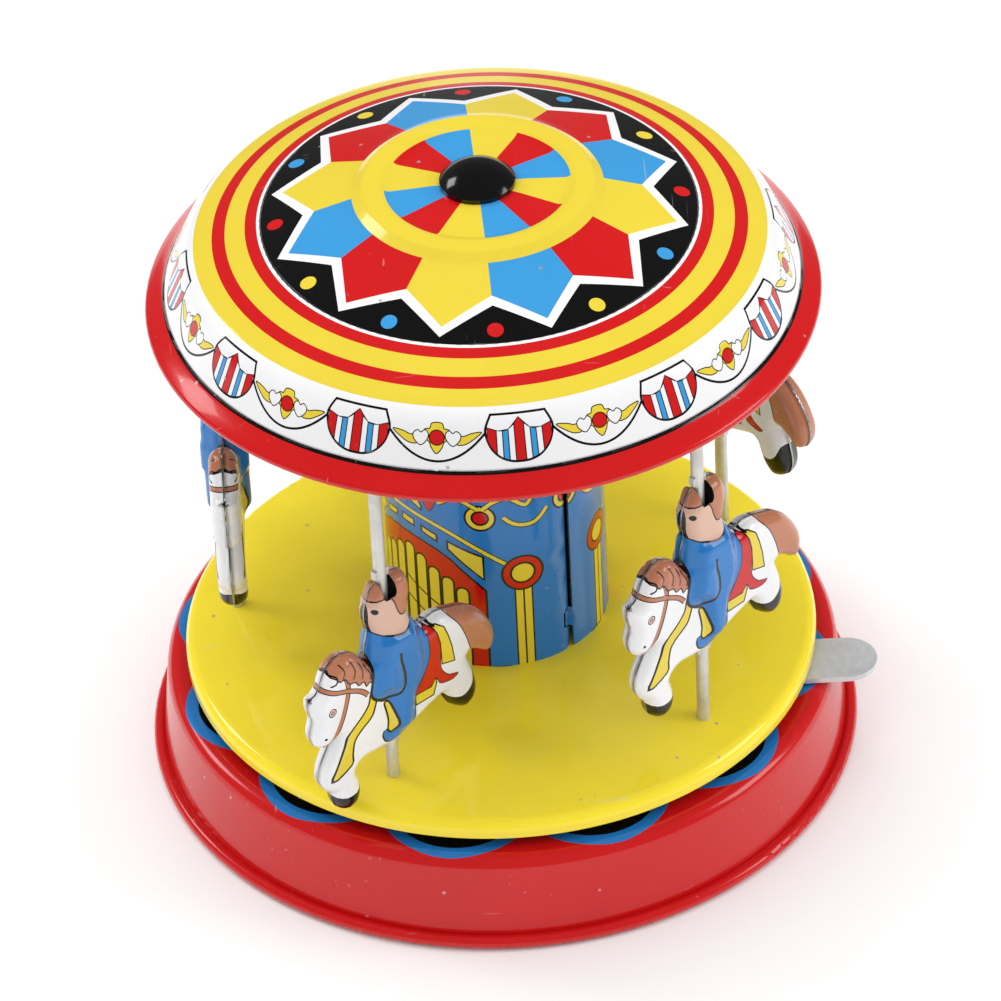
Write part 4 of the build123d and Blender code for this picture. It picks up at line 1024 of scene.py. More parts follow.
def column_motif(line, fine):
    """Half of the column's print, about the middle of an organ panel; u in degrees, v in millimetres."""
    layers = []

    def both(shape, ink):
        layers.append((ink, shape))
        layers.append((ink, mirrored(shape)))

    mm = 1.0 / (radians(1.0) * COLUMN_RADIUS)

    def wide(shape, about):
        """Turns a shape in millimetres into one in degrees round the column."""
        return [(about + u * mm, v) for u, v in shape]

    def wide_outlined(shape, ink, about, width=line):
        for ink_used, outline in outlined(shape, ink, width):
            both(wide(outline, about), ink_used)

    def wide_line(points, ink, width, border=line):
        """Line in millimetres with a black border."""
        both(wide(stroke(points, width + border), 0.0), "black")
        both(wide(stroke(points, width), 0.0), ink)

    def mm_points(points):
        return [(u / mm, v) for u, v in points]

    top = [(44.4, 16.7), (40.0, 18.3), (33.0, 20.6), (26.0, 22.8), (18.0, 24.2), (9.0, 24.9),
           (0.0, 25.1)]
    panel = mm_points([(44.4, -1.0)] + top + [(-u, v) for u, v in top[-2::-1]] + [(-44.4, -1.0)])
    for ink, outline in outlined(panel, "red", line):
        layers.append((ink, wide(outline, 0.0)))
    for k in range(-4, 5):
        high = PIPE_TOPS[abs(k)]
        pipe = [(-1.15, -1.0), (1.15, -1.0), (1.15, high - 1.0), (0.8, high - 0.3), (0.0, high),
                (-0.8, high - 0.3),
                (-1.15, high - 1.0)]
        for ink, outline in outlined(pipe, "yellow", line):
            layers.append((ink, wide(outline, 8.0 * k)))
        for start in (14.8, 10.6):
            slope = 0.16 * (1 if k >= 0 else -1)
            at = 8.0 * k
            cut = [(at - 3.4, start - 0.16 * abs(at) + 3.4 * slope),
                   (at + 3.4, start - 0.16 * abs(at) - 3.4 * slope)]
            layers.append(("black", wide(stroke(mm_points(cut), line * 0.8), 0.0)))
    for window in ([(25.0, 26.6), (43.7, 24.1), (43.7, 19.2), (25.0, 24.9)],
                   [(9.5, 28.1), (19.0, 27.3), (19.0, 25.9), (9.5, 26.9)]):
        wide_outlined(mm_points(window), "yellow", 0.0)
    middle_window = mm_points([(-4.5, 28.6), (4.5, 28.6), (4.5, 27.2), (-4.5, 27.2)])
    for ink, outline in outlined(middle_window, "yellow", line):
        layers.append((ink, wide(outline, 0.0)))
    arch = smooth_line(mm_points([(0.0, 30.2), (14.0, 29.8), (27.4, 28.4), (41.0, 25.8), (57.0, 22.0)]),
                       5)
    wide_line(arch, "yellow", 0.7)
    for start, end in ((-1.35, -0.15), (0.15, 1.35)):
        stripe = box_outline(start, end, -1.0, 17.5)
        both(wide(grown(stripe, line * 0.7), 63.8), "black")
        both(wide(stripe, 63.8), "yellow")
    wide_outlined(circle(0.0, 20.1, 3.6), "red", 63.8)
    wide_outlined(circle(0.0, 20.1, 2.1), "yellow", 63.8)
    for about, height in ((43.1, 32.5), (90.0, 33.6)):
        wide_outlined(circle(0.0, height, 2.6), "yellow", about)
        wide_outlined(circle(0.0, height, 1.4), "red", about)
    swirl = smooth_line(mm_points([(44.5, 34.4), (50.6, 36.0), (58.0, 36.5), (66.5, 34.6), (71.0, 36.1),
                                   (78.0, 36.6),
                                   (85.5, 35.2)]), 5)
    wide_line(swirl, "yellow", 0.7)
    dip = smooth_line(mm_points([(55.0, 32.5), (59.5, 31.1), (65.0, 30.4), (71.0, 30.5), (75.4, 31.6),
                                 (78.5, 32.9)]),
                      5)
    wide_line(dip, "yellow", 0.7)
    inner_swirl = smooth_line(mm_points([(41.8, 34.4), (33.0, 36.0), (26.7, 35.7), (20.5, 34.4)]), 5)
    wide_line(inner_swirl, "yellow", 0.7)
    bloom = smooth_line(mm_points([(15.0, 32.0), (19.0, 34.2), (17.0, 35.6), (15.0, 35.0), (13.0, 35.6),
                                   (11.0, 34.2)]), 4, True)
    wide_outlined(bloom, "red", 0.0, fine)
    crest = smooth_line([(-3.4, 31.6), (-2.2, 34.2), (0.0, 36.2), (2.2, 34.2), (3.4, 31.6),
                         (0.0, 32.6)], 4, True)
    for ink, outline in outlined(crest, "yellow", line):
        layers.append((ink, wide(outline, 0.0)))
    for low, high, ink in ((42.0, 43.0, "yellow"), (44.2, 44.8, "yellow"), (70.4, 71.0, "yellow"),
                           (72.2, 73.2, "yellow")):
        band = box_outline(-90.5, 90.5, low, high)
        layers.append(("black", grown(band, line / 2)))
        layers.append((ink, band))
    for k in range(-4, 4):
        about = 22.5 * (k + 0.5)
        leaf = smooth_line([(0.0, 48.4), (2.5, 52.0), (2.9, 57.6), (0.0, 66.8), (-2.9, 57.6),
                            (-2.5, 52.0)], 5, True)
        for ink, outline in outlined(leaf, "yellow" if k % 2 else "red", line):
            layers.append((ink, wide(outline, about)))
        for ink, outline in outlined(circle(0.0, 55.6, 1.2), "white", fine):
            layers.append((ink, wide(outline, about)))
    return layers


class CAROUSEL_OT_column(bpy.types.Operator):
    """Print and roll the centre column, with its seam and the tabs that hold it."""
    bl_idname = "carousel.column"
    bl_label = "Column"

    def execute(self, context):
        sizes = context.scene.carousel_sizes
        low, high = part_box("platform")
        foot = high.z / MM
        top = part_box("pole_top_disc")[0].z / MM
        height = top - foot
        radius = 19.0
        per_degree = radians(1.0) * radius
        start = SEAM_ANGLE - 180.0

        def flat(shape, about):
            return [((about + u) * per_degree, v) for u, v in shape]

        layers = [("blue", box_outline(start * per_degree - 1, (start + 360) * per_degree + 1, -1.0,
                                       height + 1))]
        for turn in (-360.0, 0.0, 360.0):
            for about in PANEL_ANGLES:
                layers += [(ink, flat(shape, about + turn))
                           for ink, shape in column_motif(sizes.print_line, sizes.fine_line)]
        seam = SEAM_ANGLE
        gap, step_in = 0.45, 1.5
        slot = [(seam, -1.0), (seam + gap / per_degree, -1.0), (seam + gap / per_degree, 4.4),
                (seam + (gap - step_in) / per_degree, 4.4), (seam + (gap - step_in) / per_degree, 8.5),
                (seam + gap / per_degree, 8.5), (seam + gap / per_degree, height + 1),
                (seam, height + 1),
                (seam, 8.1), (seam - step_in / per_degree, 8.1), (seam - step_in / per_degree, 4.8),
                (seam, 4.8)]
        layers.append((NOT_PRINTED, flat(slot, 0.0)))
        segments = sizes.segments
        us = [(start + 360.0 * k / segments) * per_degree for k in range(segments + 1)]
        rows = [height * k / 12 for k in range(13)]
        outline = ([(u, 0.0) for u in us] + [(us[-1], v) for v in rows[1:-1]] + [(u,
                                                                                  height) for u in us[::-1]]
                   + [(us[0], v) for v in rows[-2:0:-1]])
        net = [(u, v) for u in us[1:-1] for v in rows[1:-1]]

        def rolled(points):
            """The sheet rolled round, with its edge turned in at the seam."""
            angle = points[:, 0] / per_degree
            past = (seam - angle) * per_degree
            dip = np.where((past > -0.6) & (past < 2.4), 0.7 * np.clip(1 - past / 2.4, 0, 1) ** 2, 0.0)
            dip = np.where(past < -0.1, 0.0, dip)
            c, s = np.cos(np.radians(angle)), np.sin(np.radians(angle))
            r = radius - dip
            lean = np.where(dip > 0, -0.5 * np.clip(1 - past / 2.4, 0, 1), 0.0)
            normal = np.stack([c + s * lean, s - c * lean, np.zeros(len(c))], axis=1)
            normal /= np.linalg.norm(normal, axis=1, keepdims=True)
            return np.stack([r * c, r * s, foot + points[:, 1]], axis=1), normal

        piece = printed_sheet("column_print", layers, outline, rolled, sizes.sheet, MATERIALS,
                              MATERIALS["tinplate"],
                              loose_points=net, joined=True)
        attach(piece, "carousel")
        tabs = self.bent_tabs(foot, radius, sizes.sheet)
        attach(tabs, "carousel")
        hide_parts("column")
        return {"FINISHED"}

    def bent_tabs(self, foot, radius, sheet):
        """Six tabs through the platform, bent outwards underneath."""
        depth, foot_length, width = 0.5, 2.0, 3.0
        start_clean()
        middle = radius - sheet / 2
        bpy.ops.mesh.primitive_cube_add(size=1.0, location=(middle * MM, 0.0, (foot - depth / 2) * MM))
        bpy.ops.transform.resize(value=(sheet * MM, width * MM, depth * MM))
        bpy.ops.object.transform_apply(location=True, rotation=True, scale=True)
        piece = bpy.context.object
        self.extrude_side(piece, Vector((0, 0, -1)), (0.0, 0.0, -sheet * MM))
        self.extrude_side(piece, Vector((1, 0, 0)), (foot_length * MM, 0.0, 0.0),
                          (foot - depth - sheet / 2) * MM)
        bpy.ops.object.mode_set(mode="EDIT")
        bpy.ops.mesh.select_all(action="SELECT")
        bpy.ops.mesh.bevel(offset=0.08 * MM, segments=2)
        bpy.ops.object.mode_set(mode="OBJECT")
        copies = [piece]
        for k in range(1, 6):
            copy = piece.copy()
            copy.data = piece.data.copy()
            context_collection().objects.link(copy)
            copies.append(copy)
        for k, copy in enumerate(copies):
            copy.data.transform(Matrix.Rotation(radians(30 + 60 * k), 4, "Z"))
        start_clean()
        for copy in copies:
            copy.select_set(True)
        bpy.context.view_layer.objects.active = piece
        bpy.ops.object.join()
        return finish_piece("column_tabs", MATERIALS["tinplate"])

    def extrude_side(self, piece, normal, move, height=None):
        """Pulls out the faces that look one way, only those at a height where one is given."""
        bpy.ops.object.mode_set(mode="EDIT")
        mesh = bmesh.from_edit_mesh(piece.data)
        for face in mesh.faces:
            level = height is None or abs(face.calc_center_median().z - height) < 0.1 * MM
            face.select = face.normal.dot(normal) > 0.99 and level
        bmesh.update_edit_mesh(piece.data)
        bpy.ops.mesh.extrude_region_move(TRANSFORM_OT_translate={"value": move})
        bpy.ops.object.mode_set(mode="OBJECT")


def context_collection():
    """Where new objects go."""
    return bpy.context.scene.collection


# ---- riders --------------------------------------------------------------------------------------
# Seen from the side: u forwards from the pole, v up from the lowest hoof.
RIDER_OUTLINE = [
    (5.0, 28.2), (6.6, 30.6), (8.9, 32.1), (11.4, 32.0), (13.4, 30.3), (15.1, 27.0), (16.9, 26.2),
    (17.2, 24.2),
    (16.6, 21.8), (17.3, 19.0), (16.7, 16.7), (15.0, 15.7), (12.4, 16.6), (13.9, 14.1), (15.6, 11.2),
    (16.2, 8.6),
    (15.4, 6.4), (14.1, 4.6), (13.2, 1.4), (11.4, 0.0), (9.2, 0.7), (8.2, 2.8), (8.5, 5.4), (9.0, 7.6),
    (7.3, 9.0),
    (3.9, 8.8), (0.0, 8.8), (-4.5, 10.6), (-7.8, 11.8), (-10.6, 12.4), (-11.6, 10.4), (-12.9, 8.2),
    (-15.2, 6.7),
    (-17.5, 7.9), (-18.3, 10.6), (-17.6, 14.1), (-16.5, 17.9), (-18.4, 17.4), (-20.9, 15.7),
    (-22.5, 17.2),
    (-22.6, 20.4), (-20.6, 24.2), (-17.8, 26.9), (-14.4, 28.4), (-10.6, 29.4), (-7.3, 28.9),
    (-5.7, 31.6),
    (-4.5, 34.0), (-4.6, 36.6), (-5.1, 39.4), (-4.4, 42.2), (-2.6, 43.3), (1.2, 42.9), (2.8, 41.1),
    (3.9, 38.6),
    (4.1, 36.2), (3.7, 33.8), (4.4, 31.2)]
SKIRT = [(4.0, 28.0), (4.6, 22.0), (2.4, 20.4), (1.6, 12.0), (-1.8, 10.8), (-3.6, 13.0), (-4.4, 18.0),
         (-6.4, 23.0),
         (-6.2, 28.0), (-4.6, 32.6), (2.6, 32.8)]
HAIRLINE = [(4.3, 39.9), (2.5, 40.1), (0.5, 40.3), (-0.7, 38.9), (-1.3, 36.8), (-2.1, 35.3),
            (-3.8, 35.1)]
COLLAR = [(3.9, 34.0), (3.2, 33.7), (1.9, 32.9), (0.0, 32.2), (-2.0, 31.9), (-3.8, 32.4), (-4.7, 33.7)]
DRESS = [(-5.0, 33.4), (-5.6, 31.6), (-7.0, 28.8), (-7.5, 25.7), (-7.4, 22.9), (-6.1, 20.2),
         (-4.6, 18.2),
         (-3.8, 15.7), (-3.7, 12.4), (-3.4, 10.8), (-2.0, 9.9), (0.2, 9.5), (2.5, 10.3), (3.7, 11.8),
         (3.4, 13.1),
         (1.9, 13.5), (1.4, 15.2), (1.6, 17.4), (2.1, 19.3), (3.2, 19.6), (4.7, 20.7), (5.5, 22.4),
         (5.1, 24.6),
         (4.7, 26.8), (4.6, 28.5), (4.7, 30.2), (4.5, 32.0), (4.1, 33.9)]
SLEEVE = [(4.7, 28.6), (4.7, 26.8), (5.1, 24.6), (5.5, 22.7), (5.1, 21.3), (3.9, 20.3), (2.2, 19.9),
          (0.5, 20.4),
          (-0.6, 21.4), (-0.9, 22.9), (-0.7, 25.2), (-0.3, 27.1), (-0.3, 28.8)]
SADDLE = [(-7.1, 28.6), (-8.6, 28.4), (-9.6, 25.7), (-9.9, 22.9), (-9.7, 20.2), (-10.0, 18.5),
          (-11.4, 16.8),
          (-13.4, 16.1), (-12.3, 15.4), (-10.3, 15.7), (-9.2, 16.3), (-8.5, 17.8), (-7.4, 16.6),
          (-4.0, 16.6),
          (-3.9, 17.4), (-4.8, 18.2), (-6.1, 20.2), (-7.0, 22.9), (-7.2, 25.7)]
SADDLE_BAND = [(-8.6, 28.6), (-9.6, 28.5), (-10.9, 27.5), (-11.7, 25.2), (-12.4, 22.4), (-12.8, 19.1),
               (-10.0, 19.9),
               (-10.0, 21.8), (-9.9, 24.6), (-9.4, 26.8)]
SADDLE_TRIM = [(-3.9, 16.6), (-7.4, 16.5), (-8.5, 17.8), (-8.6, 16.7), (-7.8, 14.5), (-3.9, 14.5),
               (-3.8, 15.7)]
MANE = [(13.2, 30.3), (12.2, 32.2), (10.6, 33.2), (8.9, 33.4), (6.0, 31.8), (4.4, 29.4), (4.5, 26.6),
        (3.4, 24.6),
        (3.9, 23.6), (4.8, 24.4), (5.6, 25.2), (6.4, 24.8), (6.9, 26.0), (8.0, 25.9), (8.7, 27.0),
        (9.9, 27.3),
        (10.6, 28.6), (11.9, 28.9), (12.4, 29.6)]
MANE_STROKES = [[(11.2, 31.6), (10.6, 30.2), (11.0, 28.9)], [(9.0, 31.2), (8.4, 29.2), (8.8, 27.6)],
                [(7.4, 30.2), (6.7, 28.4), (7.0, 26.6)], [(5.9, 28.6), (5.2, 26.9), (5.3, 25.6)]]
TAIL = [(-12.3, 29.2), (-15.0, 28.7), (-18.3, 27.6), (-21.0, 25.1), (-23.4, 21.3), (-23.4, 17.5),
        (-22.3, 15.3),
        (-21.1, 15.0), (-19.2, 16.2), (-17.3, 17.9), (-16.4, 19.6), (-15.5, 22.9), (-14.1, 26.3)]
BROW_STRAP = [(15.3, 28.0), (12.4, 26.9), (9.9, 25.8), (7.6, 24.4), (6.2, 22.8)]
CHEEK_STRAP = [(10.5, 28.8), (10.2, 26.4), (10.9, 23.4), (12.2, 20.2), (13.9, 17.7), (15.8, 16.6)]
CHEST_STRAP = [(4.3, 23.4), (3.9, 22.4), (4.4, 20.9), (4.9, 19.4), (5.8, 17.7), (8.3, 16.1),
               (9.7, 14.7), (10.3, 12.2),
               (10.7, 10.1), (14.9, 8.6), (13.3, 11.9), (11.8, 14.6), (10.6, 16.9), (7.9, 18.9),
               (6.2, 20.7),
               (5.6, 22.9)]
STIRRUP = [(2.9, 19.1), (1.9, 18.8), (0.9, 15.6), (0.5, 13.6), (1.0, 12.6), (1.9, 12.2), (2.5, 13.0),
           (2.3, 14.6),
           (2.4, 16.0), (2.7, 17.6)]
FRONT_HOOF = [(15.4, 4.9), (13.5, 3.9), (11.4, 3.5), (9.4, 3.9), (7.6, 5.3), (7.0, 2.0), (8.0, -1.0),
              (14.0, -1.0)]
HIND_HOOF = [(-10.2, 12.9), (-11.7, 11.3), (-13.4, 10.6), (-15.0, 10.7), (-16.4, 12.1), (-17.4, 14.4),
             (-19.5, 12.0),
             (-19.0, 8.0), (-16.7, 6.0), (-14.0, 5.8), (-12.0, 7.5), (-10.4, 10.9)]
POLE_NOTCH = [(-1.35, 46.0), (-1.35, 40.4), (-1.0, 39.8), (0.0, 39.6), (1.0, 39.8), (1.35, 40.4),
              (1.35, 46.0)]
HORSE_DEPTH = 2.5           # most a half stands out over the horse
SKIRT_DEPTH = 1.35          # further over the rider's skirt and leg
SLEEVE_DEPTH = 0.3          # further over the sleeve
EDGE_ROLL = 2.3             # width of the rounded edge


def rider_layers(line, fine):
    """What is printed on one side of a horse and its rider."""
    everything = [(-30.0, -5.0), (25.0, -5.0), (25.0, 50.0), (-30.0, 50.0)]
    layers = [("horse", everything)]
    layers += outlined(smooth_line(CHEST_STRAP, 3, True), "yellow", line)
    for strap in (CHEEK_STRAP, BROW_STRAP):
        path = smooth_line(strap, 4)
        layers += [("black", stroke(path, 0.85 + fine)), ("tan", stroke(path, 0.85 - fine))]
    layers += outlined(smooth_line(TAIL, 3, True), "tan", fine)
    layers += outlined(smooth_line(MANE, 3, True), "tan", fine * 1.4)
    layers += [("black", stroke(smooth_line(mark, 3), fine * 1.3)) for mark in MANE_STROKES]
    layers += [("black", smooth_line(FRONT_HOOF, 3, True)), ("black", smooth_line(HIND_HOOF, 3, True))]
    layers += outlined(SADDLE_TRIM, "yellow", line * 0.7)
    layers += outlined(smooth_line(SADDLE, 2, True), "red", fine)
    layers += outlined(SADDLE_BAND, "yellow", line * 0.6)
    layers += outlined(smooth_line(DRESS, 3, True), "blue", fine)
    layers.append(("black", stroke(smooth_line(SLEEVE, 3), line * 1.4)))
    layers += outlined(smooth_line(STIRRUP, 3, True), "yellow", line)
    layers.append(("black", stroke(smooth_line([(3.4, 13.2), (3.6, 12.2), (3.3, 11.0), (2.2, 10.2),
                                                (0.2, 9.6),
                                                (-1.8, 9.9)], 3), line * 0.8)))
    head = [(6.0, 33.8)] + COLLAR + [(-6.4, 35.2), (-6.4, 46.0), (6.0, 46.0)]
    layers.append(("pink", head))
    layers.append(("tan", HAIRLINE + [(-7.0, 34.9), (-7.0, 46.0), (6.0, 46.0), (6.0, 39.9)]))
    layers.append(("black", stroke(smooth_line(HAIRLINE, 3), fine * 1.4)))
    layers.append(("black", stroke(smooth_line(COLLAR, 3), fine * 1.6)))
    layers.append(("black", stroke(smooth_line([(3.0, 42.0), (4.1, 39.4), (4.4, 36.2), (3.9, 33.9)], 4),
                                   0.9)))
    layers.append(("black", circle(3.1, 38.4, 0.5, 14)))
    layers += [("black", circle(13.9, 23.4, 0.85, 18)), ("horse", circle(13.9, 23.4, 0.62, 18)),
               ("tan", circle(13.9, 23.4, 0.5, 18)), ("black", circle(15.6, 18.6, 0.28, 10)),
               ("black", stroke(smooth_line([(13.3, 30.4), (12.3, 29.9), (12.5, 28.8), (13.5, 28.4)],
                                            4), fine * 1.6))]
    layers.append(("black", stroke(smooth_line([(-9.2, 29.6), (-8.6, 28.9), (-9.3, 28.3)], 4), 0.5)))
    layers.append((NOT_PRINTED, POLE_NOTCH))
    return layers


def edge_distance(points, outline, closed=True):
    """Distance of each point from a line."""
    least = np.full(len(points), 1e9)
    ends = outline[1:] + outline[:1] if closed else outline[1:]
    for start, end in zip(outline, ends):
        a = np.array(start)
        run = np.array(end) - a
        share = np.clip(((points - a) @ run) / max(run @ run, 1e-12), 0, 1)
        gap = points - (a + share[:, None] * run)
        least = np.minimum(least, np.hypot(gap[:, 0], gap[:, 1]))
    return least


def ease(value):
    """Smooth step from 0 to 1."""
    value = np.clip(value, 0, 1)
    return value * value * (3 - 2 * value)


def rider_relief(points, outline):
    """How far the pressing stands out from the middle plane."""
    roll = np.clip(edge_distance(points, outline) / EDGE_ROLL, 0, 1)
    height = 0.15 + (HORSE_DEPTH - 0.15) * np.sqrt(np.maximum(1 - (1 - roll) ** 2, 0))
    for shape, depth, run in ((smooth_line(SKIRT, 3, True), SKIRT_DEPTH, 2.4),
                              (smooth_line(SLEEVE, 3), SLEEVE_DEPTH, 1.4)):
        over = np.where(inside(points, shape), edge_distance(points, shape), 0.0)
        height += depth * ease(over / run) * np.sqrt(roll)
    for mark in MANE_STROKES:
        near = edge_distance(points, smooth_line(mark, 3), False)
        height -= 0.22 * np.exp(-(near / 0.35) ** 2)
    for mark in (COLLAR, HAIRLINE, CHEEK_STRAP):
        near = edge_distance(points, smooth_line(mark, 3), False)
        height -= 0.16 * np.exp(-(near / 0.45) ** 2)
    return height


class CAROUSEL_OT_riders(bpy.types.Operator):
    """Press and print the five horses with their riders, each in two halves."""
    bl_idname = "carousel.riders"
    bl_label = "Riders"

    def execute(self, context):
        sizes = context.scene.carousel_sizes
        outline = divided(smooth_line(RIDER_OUTLINE, 4, True), 0.8)
        loose = self.net(outline)
        layers = rider_layers(sizes.print_line, sizes.fine_line)
        joints = {joint["name"]: joint for joint in frame["record"]["behaviour"]["joints"]}
        for number in range(1, 6):
            joint = joints[f"rider_{number}_swivel"]
            for side, sign in (("left", 1.0), ("right", -1.0)):
                node_name = f"rider_{number}_{side}_half"
                piece = self.half(node_name.replace("_half", "_print"), layers, outline, loose, sign,
                                  sizes)
                heading = self.heading(number)
                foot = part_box(node_name)[0].z
                place = (Matrix.Translation((joint["pos_m"][0], joint["pos_m"][1], foot))
                         @ Matrix.Rotation(heading, 4, "Z"))
                piece.data.transform(place)
                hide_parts(node_name)
                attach(piece, f"rider_{number}")
        return {"FINISHED"}

    def heading(self, number):
        """Direction a rider faces at rest: the long side of its thin flat half."""
        part = frame["nodes"][f"rider_{number}_left_half"]
        other = frame["nodes"][f"rider_{number}_right_half"]
        left = np.array([tuple(v.co) for v in part.data.vertices])
        right = np.array([tuple(v.co) for v in other.data.vertices])
        across = left.mean(axis=0) - right.mean(axis=0)
        return atan2(across[1], across[0]) - pi / 2

    def net(self, outline):
        """Points inside the outline, close together near its rounded edge."""
        points = []
        turn = 1 if signed_area(outline) > 0 else -1
        for depth in (0.12, 0.35, 0.75, 1.3, 2.0):
            ring = np.array(side_points(outline, depth * turn, True))
            good = inside(ring, outline) & (edge_distance(ring, outline) > depth * 0.93)
            points += [tuple(p) for p in ring[good]]
        low, high = np.min(outline, axis=0), np.max(outline, axis=0)
        step = 0.75
        us, vs = np.meshgrid(np.arange(low[0], high[0], step), np.arange(low[1], high[1], step))
        grid = np.stack([us.ravel() + (np.arange(us.size) // us.shape[1] % 2) * step / 2, vs.ravel()],
                        axis=1)
        good = inside(grid, outline) & (edge_distance(grid, outline) > 2.2)
        return points + [tuple(p) for p in grid[good]]

    def half(self, name, layers, outline, loose, sign, sizes):
        """One pressing about its own pole."""
        def pressed(points):
            height = rider_relief(points, outline)
            small = 0.08
            du = (rider_relief(points + [small, 0.0], outline) - rider_relief(points - [small, 0.0],
                                                                              outline))
            dv = (rider_relief(points + [0.0, small], outline) - rider_relief(points - [0.0, small],
                                                                              outline))
            normal = np.stack([-du / (2 * small), np.full(len(points), sign), -dv / (2 * small)],
                              axis=1)
            normal /= np.linalg.norm(normal, axis=1, keepdims=True)
            return np.stack([points[:, 0], sign * height, points[:, 1]], axis=1), normal

        return printed_sheet(name, layers, outline, pressed, 0.12, MATERIALS, MATERIALS["tinplate"],
                             loose_points=loose, step=0.8)


# ---- fittings ------------------------------------------------------------------------------------
class CAROUSEL_OT_fittings(bpy.types.Operator):
    """Add the rivet that holds the lever."""
    bl_idname = "carousel.fittings"
    bl_label = "Fittings"

    def execute(self, context):
        low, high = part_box("lever_arm")
        joints = {joint["name"]: joint for joint in frame["record"]["behaviour"]["joints"]}
        pivot = joints["lever_swing"]["pos_m"]
        top = high.z / MM
        rivet = turned_piece("lever_rivet", [(2.6, top - 0.02), (2.6, top + 0.25), (2.4, top + 0.5),
                                             (1.9, top + 0.7), (1.0, top + 0.82), (0.15, top + 0.86)],
                             (pivot[0] / MM, pivot[1] / MM), MATERIALS["steel"])
        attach(rivet, "lever")
        return {"FINISHED"}


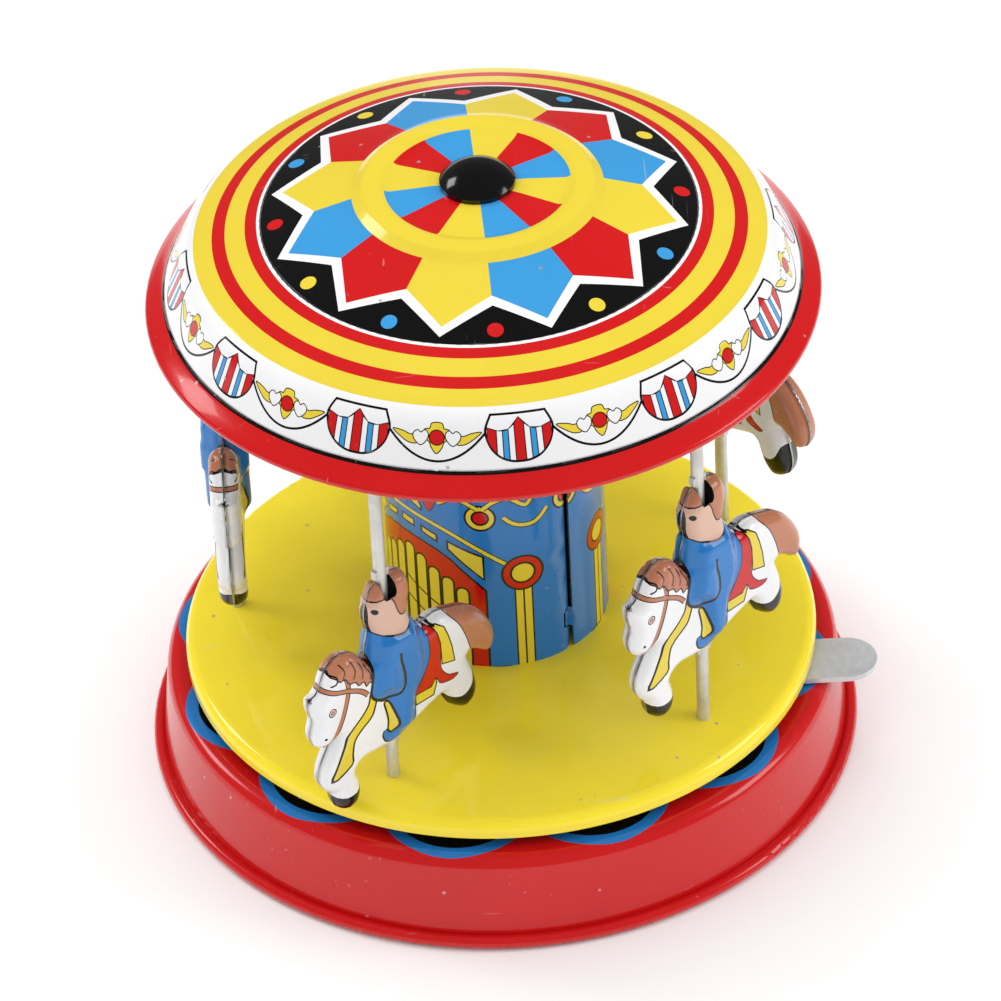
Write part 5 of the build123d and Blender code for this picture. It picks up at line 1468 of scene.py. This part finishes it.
# ---- stage ---------------------------------------------------------------------------------------
class CAROUSEL_OT_stage(bpy.types.Operator):
    """Lay the pale floor and set the studio light and the camera."""
    bl_idname = "carousel.stage"
    bl_label = "Stage"

    def execute(self, context):
        stage = context.scene.carousel_stage
        self.floor()
        self.lights(stage)
        self.camera(context, stage)
        context.scene.view_settings.view_transform = "Standard"
        return {"FINISHED"}

    def floor(self):
        """Wide pale sheet with a faint paper tooth."""
        start_clean()
        bpy.ops.mesh.primitive_plane_add(size=6.0, location=(0.0, 0.0, -0.0003))
        floor = bpy.context.object
        floor.name = "studio_floor"
        bpy.ops.object.transform_apply(location=True, rotation=True, scale=True)
        material, tree, shader = shader_material("studio_white")
        place = node(tree, "ShaderNodeTexCoord").outputs["Object"]
        cloud = node(tree, "ShaderNodeTexNoise", [("Vector", place)],
                     [("Scale", 30.0), ("Detail", 2.0)]).outputs[0]
        tone = mixed_colour(tree, cloud, (0.93, 0.93, 0.93, 1.0), (0.95, 0.95, 0.95, 1.0))
        tree.links.new(tone, shader.inputs["Base Color"])
        shader.inputs["Roughness"].default_value = 0.6
        shader.inputs["Specular IOR Level"].default_value = 0.2
        floor.data.materials.append(material)

    def lights(self, stage):
        """White surround, one large softbox above and one at each side."""
        world = bpy.data.worlds.new("white_studio")
        bpy.context.scene.world = world
        world.use_nodes = True
        back = world.node_tree.nodes["Background"]
        back.inputs["Color"].default_value = (1.0, 1.0, 1.0, 1.0)
        ray = node(world.node_tree, "ShaderNodeLightPath")
        dimmed = node(world.node_tree, "ShaderNodeMapRange", [("Value", ray.outputs["Is Glossy Ray"])],
                      [("To Min", stage.surround), ("To Max", stage.mirrored)])
        world.node_tree.links.new(dimmed.outputs[0], back.inputs["Strength"])
        aim = Vector((0.0, 0.0, 0.06))
        for name, place, size, power, mirrored_in_gloss in (
                ("key_softbox", (-0.15, 0.15, 1.0), 0.8, stage.key_power, False),
                ("left_softbox", (-0.85, 0.45, 0.75), 0.35, stage.fill_power, True),
                ("right_softbox", (0.9, -0.1, 0.5), 0.4, stage.fill_power, True)):
            light = bpy.data.lights.new(name, "AREA")
            light.shape = "SQUARE"
            light.size = size
            light.energy = power
            lamp = bpy.data.objects.new(name, light)
            lamp.location = place
            lamp.rotation_euler = (aim - Vector(place)).to_track_quat("-Z", "Y").to_euler()
            lamp.visible_glossy = mirrored_in_gloss
            bpy.context.scene.collection.objects.link(lamp)

    def camera(self, context, stage):
        """Camera that looks down on the front of the toy."""
        data = bpy.data.cameras.new("camera")
        data.lens = stage.lens
        data.sensor_width = 36.0
        data.clip_start = 0.05
        data.clip_end = 20.0
        camera = bpy.data.objects.new("camera", data)
        forward = Vector((sin(stage.pan) * cos(stage.tilt), cos(stage.pan) * cos(stage.tilt),
                          -sin(stage.tilt)))
        right = forward.cross(Vector((0, 0, 1))).normalized()
        up = right.cross(forward)
        leaned = right * cos(stage.roll) + up * sin(stage.roll)
        upright = leaned.cross(forward)
        turn = Matrix((leaned, upright, -forward)).transposed()
        camera.matrix_world = Matrix.Translation((0.0, -stage.distance, stage.height)) @ turn.to_4x4()
        context.scene.collection.objects.link(camera)
        bpy.context.scene.camera = camera


class CAROUSEL_PT_panel(bpy.types.Panel):
    """Buttons for each group of pieces."""
    bl_idname = "CAROUSEL_PT_panel"
    bl_label = "Tin carousel"
    bl_space_type = "VIEW_3D"
    bl_region_type = "UI"
    bl_category = "Carousel"

    def draw(self, context):
        for owner in ("carousel_sizes", "carousel_colours", "carousel_stage"):
            settings = getattr(context.scene, owner)
            for name in settings.bl_rna.properties.keys():
                if name not in ("rna_type", "name"):
                    self.layout.prop(settings, name)
        for operator in OPERATORS:
            self.layout.operator(operator.bl_idname)


SETTINGS = (CarouselSizes, CarouselColours, CarouselStage)
OPERATORS = (CAROUSEL_OT_materials, CAROUSEL_OT_canopy, CAROUSEL_OT_column, CAROUSEL_OT_riders,
             CAROUSEL_OT_fittings, CAROUSEL_OT_stage)


def register():
    for each in SETTINGS + OPERATORS + (CAROUSEL_PT_panel,):
        bpy.utils.register_class(each)
    bpy.types.Scene.carousel_sizes = bpy.props.PointerProperty(type=CarouselSizes)
    bpy.types.Scene.carousel_colours = bpy.props.PointerProperty(type=CarouselColours)
    bpy.types.Scene.carousel_stage = bpy.props.PointerProperty(type=CarouselStage)


def unregister():
    del bpy.types.Scene.carousel_stage
    del bpy.types.Scene.carousel_colours
    del bpy.types.Scene.carousel_sizes
    for each in reversed(SETTINGS + OPERATORS + (CAROUSEL_PT_panel,)):
        bpy.utils.unregister_class(each)


def main():
    """Runs every operator in order."""
    register()
    bpy.ops.carousel.materials()
    bpy.ops.carousel.canopy()
    bpy.ops.carousel.column()
    bpy.ops.carousel.riders()
    bpy.ops.carousel.fittings()
    bpy.ops.carousel.stage()


if __name__ == "__main__":
    main()
